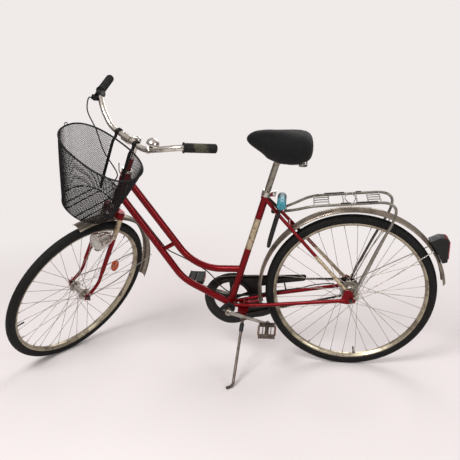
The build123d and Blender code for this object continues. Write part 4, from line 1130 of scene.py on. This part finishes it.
def makeRearLamp():
    a = np.radians(np.linspace(rearLamp["from"], rearLamp["to"], 8))
    inner = np.stack([rearLamp["guard"] * np.cos(a), rearLamp["guard"] * np.sin(a)], 1)

    def plate(outline, half):
        return prisms(inBike(outline[:, 0], 0.0, outline[:, 1])[None], -bikeRight * half, bikeRight * half)

    shell = plate(np.concatenate([inner, rearLamp["corners"]]), rearLamp["half"])
    piece = makePiece("rearLampShell", [shell], "frame", "blackPlastic", "rear_lamp_housing")
    roundEdges(piece, 0.0025)
    lens = plate(np.array(rearLamp["lens"]), rearLamp["lensHalf"])
    makePiece("rearLampGlass", [lens], "frame", "redLens", "rear_lamp_lens")


headLamp = {
    "back": 0.042, "left": 0.074, "up": 0.332, "tilt": -0.25, "long": 0.092, "radius": 0.036,
    "foot": (0.016, 0.049, 0.296), "knee": (0.034, 0.066, 0.300), "holdAt": 0.040, "arm": 0.0042,
    "bulb": [(0.0, 0.0), (0.0035, 0.001), (0.005, 0.006), (0.0045, 0.012), (0.0, 0.015)],
}


# Bullet shell and rim turned about the lamp's own axis; bowl, bulb and ribbed glass inside
def makeHeadLamp():
    axis = direction((1.0, 0.0, headLamp["tilt"]), "steer")
    centre = toRow((headLamp["back"], headLamp["left"], headLamp["up"]), "steer")
    long, radius = headLamp["long"], headLamp["radius"]
    a = np.linspace(0, math.pi / 2, 14)
    shell = np.stack([(radius - 0.003) * np.sin(a), (long - 0.016) * (1 - np.cos(a))], 1)
    rim = [(radius - 0.003, long - 0.014), (radius - 0.001, long - 0.013), (radius, long - 0.010),
           (radius, long - 0.002), (radius - 0.002, long), (radius - 0.004, long - 0.001)]
    b = np.linspace(0, 1, 10)
    bowl = np.stack([(radius - 0.005) * (1 - b) + 0.004 * b, long - 0.003 - 0.030 * np.sqrt(b)], 1)
    profile = np.concatenate([shell, rim, bowl, [(0.0, long - 0.033)]])
    hold = centre + axis * headLamp["holdAt"]
    arm = [toRow(headLamp["foot"], "steer"), toRow(headLamp["knee"], "steer"), hold]
    parts = [turnedPart(profile, centre, axis, 56), tubes(eased(arm, 0.012), headLamp["arm"], 10)]
    makePiece("headLampShell", parts, "steering", "chrome", "headlamp_body", smooth=30.0)
    c = np.linspace(1, 0, 14)
    dome = long - 0.0035 + 0.0045 * np.sqrt(np.clip(1 - c ** 2, 0, 1))
    face = np.stack([(radius - 0.0042) * c, dome], 1)
    glass = np.concatenate([[(0.0, long - 0.005), (radius - 0.0042, long - 0.005)], face])
    makePiece("headLampGlass", [turnedPart(glass, centre, axis, 56)], "steering", "clearLens",
              "headlamp_lens")
    bulb = turnedPart(headLamp["bulb"], centre + axis * (long - 0.034), axis, 16)
    makePiece("headLampBulb", [bulb], "steering", "chrome")


makeRearLamp()
makeHeadLamp()
print("lamps made")

grips = {
    # run along the bar and outer end, in steering axes
    "inner": (0.033, 0.229, 0.810), "outer": (-0.072, 0.301, 0.840), "length": 0.128, "past": 0.006,
    "radii": {"left": 0.0182, "right": 0.0168}, "ribPitch": 0.0052,
    "patch": (-0.074, -0.028),
}


# Grip: radius ripples along the bar, with a flange inboard and a rounded outer end
def makeGrip(tag, side, finish):
    inner, outer = (toRow(np.array(grips[end]) * (1, side, 1), "steer") for end in ("inner", "outer"))
    axis = unit(outer - inner)
    start = outer + axis * (grips["past"] - grips["length"])
    radius = grips["radii"][tag]
    reach = np.linspace(0.006, grips["length"] - 0.009, 96)
    body = radius - 0.0009 + 0.0006 * np.sin(reach * 2 * math.pi / grips["ribPitch"])
    flange = [(0.0112, 0.0), (radius + 0.0015, 0.0), (radius + 0.0022, 0.0015), (radius + 0.0015, 0.0042)]
    b = np.linspace(0, math.pi / 2, 8)
    cap = np.stack([(radius - 0.0005) * np.cos(b) ** 0.6, grips["length"] - 0.0085 + 0.0085 * np.sin(b)], 1)
    profile = np.concatenate([flange, np.stack([body, reach], 1), cap])
    makePiece(tag + "GripSleeve", [turnedPart(profile, start, axis, 40)], "steering", finish,
              tag + "_grip")


# Grip rubber with an olive patch worn through on the upper side
def patchedGrip():
    material, tree, shader = newMaterial("gripPatched")
    inner, outer = (toRow(np.array(grips[end]), "steer") for end in ("inner", "outer"))
    slanted = unit(unit(outer - inner) + 0.45 * steerUp)
    patch = band(tree, along(tree, outer, slanted), *grips["patch"], 0.004)
    worn = noise(tree, 90.0, 6.0, 0.7)
    olive = ramp(tree, worn, [(0.36, (0.006, 0.0055, 0.004)), (0.58, (0.075, 0.072, 0.046))])
    link(tree, mixColours(tree, patch, (0.0048, 0.0045, 0.0040), olive), 2, shader, "Base Color")
    setInputs(shader, {"Roughness": 0.65, "Specular IOR Level": 0.25})
    bump(tree, shader, worn, "Fac", 0.3, 0.0005)
    return material


materials["gripPatched"] = patchedGrip()
makeGrip("left", 1, "gripPatched")
makeGrip("right", -1, "gripRubber")

springs = {
    "post": (-0.204, 0.060, 0.566, 0.604), "radius": 0.0145, "wire": 0.0022, "turns": 4.5,
    "rail": [(-0.372, 0.009, 0.611), (-0.340, 0.012, 0.588), (-0.250, 0.022, 0.585), (-0.205, 0.058, 0.566)],
    "railWire": 0.0036, "cap": (0.0165, 0.0022), "cross": (-0.205, 0.060, 0.5665, 0.004),
}


# Saddle frame: two rails and a coil each side, x = r cos a, y = r sin a, z rising with a
def makeSprings():
    parts = []
    x, y, low, high = springs["post"]
    capRadius, capThick = springs["cap"]
    for side in (-1, 1):
        rail = eased(np.array(springs["rail"]) * (1, side, 1), 0.018)
        parts.append(tubes(toRow(rail, "bike"), springs["railWire"], 10, bikeUp))
        s = np.linspace(0, 1, 120)
        a = s * springs["turns"] * 2 * math.pi
        coil = inBike(x + springs["radius"] * np.cos(a), side * y + springs["radius"] * np.sin(a),
                      low + s * (high - low))
        parts.append(tubes(coil, springs["wire"], 8, bikeUp))
        for z in (low - 0.002, high):
            parts.append(turnedPart(drum(capRadius, 0.0, capThick), inBike(x, side * y, z), bikeUp, 28))
    x, y, z, wire = springs["cross"]
    parts.append(tubes(inBike(x, np.linspace(-y, y, 5), z), wire, 10, bikeUp))
    makePiece("saddleCoils", parts, "frame", "hubSteel", "saddle_springs")


makeSprings()
print("grips and springs made")

pedals = {
    "half": 0.032, "long": 0.088, "high": 0.0125, "wall": 0.0036, "teeth": 9, "core": (0.018, 0.011),
    # past the cage plate, then half sizes
    "holder": (0.0022, 0.0016, 0.026, 0.0085), "lens": (0.0042, 0.0012, 0.023, 0.0065),
}


# Pedal: sleeve on the axle, front and rear cage plates with teeth, end plates, reflectors
def makePedal(tag, side):
    at = jointAt(tag + "_pedal_turn")[0]
    out = side * bikeRight
    long, half, high, wall = pedals["long"], pedals["half"], pedals["high"], pedals["wall"]
    v = np.linspace(-long / 2, long / 2, pedals["teeth"] * 6 + 1)
    edge = high + 0.0016 * np.clip(2 * np.cos(v * 2 * math.pi * pedals["teeth"] / long), 0, 1)
    plateLoop = np.concatenate([np.stack([v, edge], 1), np.stack([v[::-1], -edge[::-1]], 1)])
    cage = []
    for face in (-1, 1):
        loop = at + plateLoop[:, :1] * out + plateLoop[:, 1:] * bikeUp + face * half * bikeBack
        cage.append(prisms(loop[None], -bikeBack * wall / 2, bikeBack * wall / 2))
    axes = [bikeBack, out, bikeUp]
    centres = [at + end * (long / 2 - 0.0015) * out for end in (-1, 1)]
    cage.append(blocks(centres, (half, 0.0020, high * 0.8), axes))
    if side > 0:
        shift, core = pedals["core"]
        centres = [at + bikeBack * shift, at - bikeBack * shift]
        cage.append(blocks(centres, (core, long / 2 - 0.004, high * 0.7), axes))
    rungs = [at + face * half * 0.52 * bikeBack for face in (-1, 1)]
    cage.append(blocks(rungs, (0.0014, long / 2, high * 0.5), axes))
    sleeve = [(0.0042, -long / 2), (0.0085, -long / 2), (0.0095, -long / 2 + 0.006), (0.0075, 0.0),
              (0.0095, long / 2 - 0.006), (0.0075, long / 2), (0.0042, long / 2)]
    cage.append(turnedPart(sleeve, at, out, 28, closedProfile=True))
    slot, finish = ("steel", "standSteel") if side < 0 else ("black_plastic", "blackPlastic")
    body = tag + "_pedal"
    makePiece(tag + "PedalCage", cage, body, finish, body + "_body")
    for name, key, slot, finish in (("PedalHolders", "holder", "black_plastic", "blackPlastic"),
                                    ("PedalReflectors", "lens", None, "amberLens")):
        reach, *halves = pedals[key]
        centres = [at + face * (half + reach) * bikeBack for face in (-1, 1)]
        makePiece(tag + name, [blocks(centres, halves, axes)], body, finish)


makePedal("left", -1)
makePedal("right", 1)

fittings = {
    "seatTop": 0.538, "collar": 0.0190, "cup": 0.0245, "bracketHalf": 0.035, "cupThick": 0.0062,
    "ear": (0.011, 0.0026, 0.010), "pin": (0.017, 0.0032), "bolt": (0.0072, 0.006),
    "beadOut": 0.368, "guardHalf": 0.026, "bead": 0.0016, "beadAngles": (9.0, 191.0),
}


def hexBolt(centre, axis, radius, high):
    ring = [(0.0, 0.0), (radius, 0.0), (radius, high * 0.8), (radius * 0.8, high), (0.0, high)]
    return turnedPart(ring, centre, axis, 6)


# Seat clamp with its ears, pin and bolt; cups at both ends of the bottom bracket
def makeFittings():
    top = seatFoot + seatAxis * fittings["seatTop"]
    radius = fittings["collar"]
    collar = [(radius - 0.004, 0.0), (radius, 0.0), (radius + 0.0008, 0.003), (radius + 0.0008, 0.021),
              (radius, 0.024), (radius - 0.006, 0.024)]
    parts = [turnedPart(collar, top - seatAxis * 0.022, seatAxis, 44, closedProfile=True)]
    ear = top - seatAxis * 0.010 + bikeBack * 0.026
    parts.append(blocks([ear + bikeRight * 0.0055, ear - bikeRight * 0.0055], fittings["ear"],
                        [bikeBack, bikeRight, seatAxis]))
    reach, pin = fittings["pin"]
    line = np.array([ear - bikeRight * reach, ear, ear + bikeRight * reach]) + bikeBack * 0.003
    parts.append(tubes(line, pin, 10, seatAxis))
    for side in (1, -1):
        at = ear + side * bikeRight * 0.0085 + bikeBack * 0.003
        parts.append(hexBolt(at, side * bikeRight, *fittings["bolt"]))
    makePiece("seatClamp", parts, "frame", "hubSteel")
    x, z = drive["bracket"]
    radius, thick = fittings["cup"], fittings["cupThick"]
    cup = [(0.009, 0.0), (radius - 0.001, 0.0), (radius, 0.0015), (radius, thick - 0.001),
           (radius - 0.003, thick), (0.009, thick)]
    cups = []
    for side in (-1, 1):
        at = inBike(x, side * fittings["bracketHalf"], z)
        cups.append(turnedPart(cup, at, side * bikeRight, 44, closedProfile=True))
    makePiece("bracketCups", cups, "frame", "blackPlastic")


# Rolled edges of the rear mudguard: a wire at each side, its radius constant about the axle
def makeBeads():
    a = np.radians(np.linspace(*fittings["beadAngles"], 90))
    out, parts = fittings["beadOut"], []
    for side in (-1, 1):
        path = inBike(out * np.cos(a), side * fittings["guardHalf"], out * np.sin(a))
        parts.append(tubes(path, fittings["bead"], 8, bikeRight))
    makePiece("rearGuardBeads", parts, "frame", "guardSteel")


stand = {
    "out": 49.5, "forward": 5.0, "leg": 0.0060, "toe": 0.030, "toeWay": (-0.75, -0.66, 0.0),
    "sleeve": [(0.0, 0.024), (0.0080, 0.024), (0.0092, 0.028), (0.0092, 0.054), (0.0072, 0.062),
               (0.0, 0.062)],
    "hub": (0.011, -0.009, 0.0065), "nut": (0.0085, -0.0125, -0.009),
}


# Stand: a leg from the hinge to the floor, bent to a toe, with a black sleeve above
def makeStand():
    pivot, hinge = jointAt("side_stand_swing")
    out, forward = math.radians(stand["out"]), math.radians(stand["forward"])
    sideways, down = -math.sin(out) * math.cos(forward), -math.cos(out) * math.cos(forward)
    leg = direction((-math.sin(forward), sideways, down), "bike")
    radius = stand["leg"]
    knee = pivot + leg * (pivot[2] - radius) / -leg[2]
    toe = knee + unit(direction(stand["toeWay"], "bike") * (1, 1, 0)) * stand["toe"]
    parts = [tubes(eased(np.array([pivot, knee, toe]), 0.016), radius, 14, hinge)]
    makePiece("standSleeve", [turnedPart(stand["sleeve"], pivot, leg, 24)], "side_stand",
              "blackPlastic")
    parts.append(turnedPart(drum(*stand["hub"]), pivot, hinge, 28))
    parts.append(turnedPart(drum(*stand["nut"]), pivot, hinge, 6))
    makePiece("standLeg", parts, "side_stand", "standSteel", "side_stand")


makeFittings()
makeBeads()
makeStand()
print("fittings made")

lock = {
    "bar": (-0.2835, 0.399), "barHalf": 0.058, "barRadius": 0.018, "grooves": (-0.030, 0.030),
    "shackleLow": (-0.336, 0.208), "shackleHalf": 0.043, "shackle": 0.0065,
    "knob": (-0.3149, -0.020, 0.367),
    "knobShape": [(0.0, -0.012), (0.0075, -0.012), (0.0095, -0.010), (0.0095, 0.008), (0.0075, 0.010),
                  (0.0, 0.010)],
    "fade": (-0.020, 0.012),
}


# Turquoise, turning a darker grey-teal on the far half of the barrel
def lockPaint():
    material, tree, shader = newMaterial("lockPaint")
    fade = mapRange(tree, along(tree, places["bike"][0], bikeRight), "Value", *lock["fade"], 0.0, 1.0)
    worn = noise(tree, 60.0, 6.0, 0.65)
    bright = ramp(tree, worn, [(0.35, (0.02, 0.11, 0.14)), (0.6, (0.045, 0.27, 0.34))])
    dull = ramp(tree, worn, [(0.35, (0.03, 0.055, 0.06)), (0.6, (0.065, 0.16, 0.18))])
    link(tree, mixColours(tree, fade, bright, dull), 2, shader, "Base Color")
    setInputs(shader, {"Roughness": 0.42, "Specular IOR Level": 0.35})
    bump(tree, shader, worn, "Fac", 0.25, 0.0004)
    return material


# Lock: barrel with rings and end caps, bowed shackle, and the carrier's knob
def makeLock():
    x, z = lock["bar"]
    half, radius = lock["barHalf"], lock["barRadius"]
    cap = [(0.0, half), (radius - 0.004, half), (radius - 0.001, half - 0.003), (radius, half - 0.007)]
    profile = [(out, -reach) for out, reach in cap]
    for at in lock["grooves"]:
        profile += [(radius, at - 0.003), (radius - 0.0014, at - 0.002), (radius - 0.0014, at + 0.002),
                    (radius, at + 0.003)]
    profile += cap[::-1]
    makePiece("lockBarrel", [turnedPart(profile, inBike(x, 0.0, z), bikeRight, 40)], "frame",
              "lockPaint", "lock_bar")
    lowX, lowZ = lock["shackleLow"]
    wide = lock["shackleHalf"]
    bow = [(x, -wide, z), (lowX, -wide, lowZ), (lowX, wide, lowZ), (x, wide, z)]
    path = toRow(eased(bow, 0.042, 14), "bike")
    makePiece("lockShackle", [tubes(path, lock["shackle"], 14, bikeBack)], "frame",
              "blackPlastic", "lock_shackle")
    knob = turnedPart(lock["knobShape"], toRow(lock["knob"], "bike"), bikeRight, 12)
    makePiece("lockKnob", [knob], "frame", "blackPlastic")


materials["lockPaint"] = lockPaint()
makeLock()
print("lock made")

chainCase = {
    "side": 0.0535, "thick": 0.0008, "hole": 0.084,
    # round the bracket: degrees from the rear towards the top, outer radius
    "outline": [
        (0, 0.118), (24.8, 0.131), (45, 0.135), (65, 0.124), (90, 0.117), (117, 0.113), (150, 0.116),
        (197.6, 0.120), (240, 0.130), (259.5, 0.135), (280, 0.133), (295.7, 0.130), (315, 0.140),
        (335, 0.186), (346, 0.174), (352, 0.114), (360, 0.118)],
    "band": [
        (-0.5499, 0.0261), (-0.3813, 0.0361), (-0.1872, 0.0464), (-0.1800, 0.0425), (-0.1786, 0.0385),
        (-0.1815, 0.0210), (-0.1880, 0.0160), (-0.2020, 0.0137), (-0.2986, -0.0004), (-0.3796, -0.0175),
        (-0.420, 0.000), (-0.500, 0.020)],
    "edge": [(-0.566, 0.0170), (-0.549, 0.0262), (-0.500, 0.0300), (-0.3813, 0.0361)], "edgeRadius": 0.0032,
    "strut": [(-0.2705, 0.0045), (-0.2616, -0.0400)], "strutWide": 0.0065, "strutThick": 0.0025,
}


# Chain case: a plate round the ring, its radius read from the outline by angle, a band
# to the tail, a rolled edge along the top and a strut
def makeChainCase():
    y, hole = chainCase["side"], chainCase["hole"]
    push = bikeRight * chainCase["thick"]
    x0, z0 = drive["bracket"]
    outline, flat, strut, edge = (np.array(chainCase[key]) for key in ("outline", "band", "strut", "edge"))
    a = np.radians(np.arange(180) * 2)
    r = np.interp(np.degrees(a), outline[:, 0], outline[:, 1])
    outer = inBike(x0 + r * np.cos(a), y, z0 + r * np.sin(a))
    inner = inBike(x0 + hole * np.cos(a), y, z0 + hole * np.sin(a))
    band = prisms(inBike(flat[:, 0], y + 2.5 * chainCase["thick"], flat[:, 1])[None], -push, push)
    strap = ribbon(inBike(strut[:, 0], y - 0.003, strut[:, 1]), bikeBack, chainCase["strutWide"],
                   chainCase["strutThick"])
    makePiece("chainCase", [ringPlate(outer, inner, -push, push), band, strap], "frame",
              "blackEnamel", "chain_guard")
    # The rolled top edge takes the lighter brownish finish, a painted highlight
    path = eased(inBike(edge[:, 0], y + 0.001, edge[:, 1]), 0.02)
    makePiece("chainCaseEdge", [tubes(path, chainCase["edgeRadius"], 10)], "frame", "caseEdgePaintedHighlight")


cranks = {
    "side": 0.074, "near": 0.0088, "far": 0.0056, "boss": 0.0135, "eye": 0.0098,
    "axle": (0.0062, -0.078, 0.078), "stub": 0.0038, "bolt": (0.0065, 0.004),
}


# Cranks: arms whose radius falls evenly from boss to pedal, axle ends under bolts
def makeCranks():
    bracket = inBike(drive["bracket"][0], 0.0, drive["bracket"][1])
    parts = [turnedPart(drum(*cranks["axle"]), bracket, bikeRight, 20)]
    boss, eye = cranks["boss"], cranks["eye"]
    for side, tag in ((-1, "left"), (1, "right")):
        out = side * bikeRight
        root = bracket + out * cranks["side"]
        pedal = jointAt(tag + "_pedal_turn")[0]
        tip = pedal + bikeRight * ((root - pedal) @ bikeRight)
        s = np.linspace(0, 1, 12)
        radius = cranks["near"] + (cranks["far"] - cranks["near"]) * s
        parts.append(tubes(root + s[:, None] * (tip - root), radius, 18, bikeRight))
        hub = [(0.0, -0.012), (boss - 0.002, -0.012), (boss, -0.008), (boss, 0.006), (boss - 0.003, 0.009),
               (0.0, 0.009)]
        end = [(0.0, -0.007), (eye, -0.007), (eye, 0.006), (eye - 0.002, 0.008), (0.0, 0.008)]
        parts += [turnedPart(hub, root, out, 32), turnedPart(end, tip, out, 28)]
        parts.append(hexBolt(root + out * 0.009, out, *cranks["bolt"]))
        reach = abs(float((pedal - tip) @ bikeRight)) + pedals["long"] / 2
        parts.append(turnedPart(drum(cranks["stub"], 0.0, reach), tip, out, 14))
    makePiece("crankArms", parts, "crank", "spokeSteel", "crankset")


bars = {
    "points": [(0.058, 0.095, 0.728), (0.056, 0.168, 0.771), (0.033, 0.229, 0.810), (-0.072, 0.301, 0.840)],
    "radius": 0.0111, "bend": 0.034,
    "loop": [(0.0591, 0.0, 0.622), (0.0448, 0.0, 0.5855), (0.0188, 0.0, 0.5608)], "loopWire": 0.0024,
}


# Handlebar through its corner points, eased, and the wire loop before the head
def makeBars():
    half = np.array(bars["points"])
    whole = np.concatenate([half[::-1] * (1, -1, 1), half])
    path = toRow(eased(whole, bars["bend"], 14), "steer")
    makePiece("barTube", [tubes(path, bars["radius"], 28, steerAhead)], "steering", "chrome",
              "handlebar")
    loop = toRow(eased(bars["loop"], 0.012), "steer")
    makePiece("barLoop", [tubes(loop, bars["loopWire"], 10, steerLeft)], "steering", "hubSteel")


carrier = {
    "arm": [(-0.3347, 0.0, 0.4135), (-0.3100, 0.0, 0.3830), (-0.2862, 0.0, 0.3572)], "radius": 0.0036,
    "clampAlong": 0.509, "clampRadius": 0.0160,
}


# Lock carrier: a slim clamp on the seat tube with a slanting arm
def makeCarrier():
    radius = carrier["clampRadius"]
    ring = [(radius - 0.0015, -0.006), (radius, -0.005), (radius, 0.005), (radius - 0.0015, 0.006)]
    parts = [turnedPart(ring, seatFoot + seatAxis * carrier["clampAlong"], seatAxis, 36, closedProfile=True),
             tubes(toRow(carrier["arm"], "bike"), carrier["radius"], 12, bikeRight)]
    makePiece("lockCarrier", parts, "frame", "blackPlastic", "lock_bracket")


makeChainCase()
makeCranks()
makeBars()
makeCarrier()
print("case, cranks and bars made")
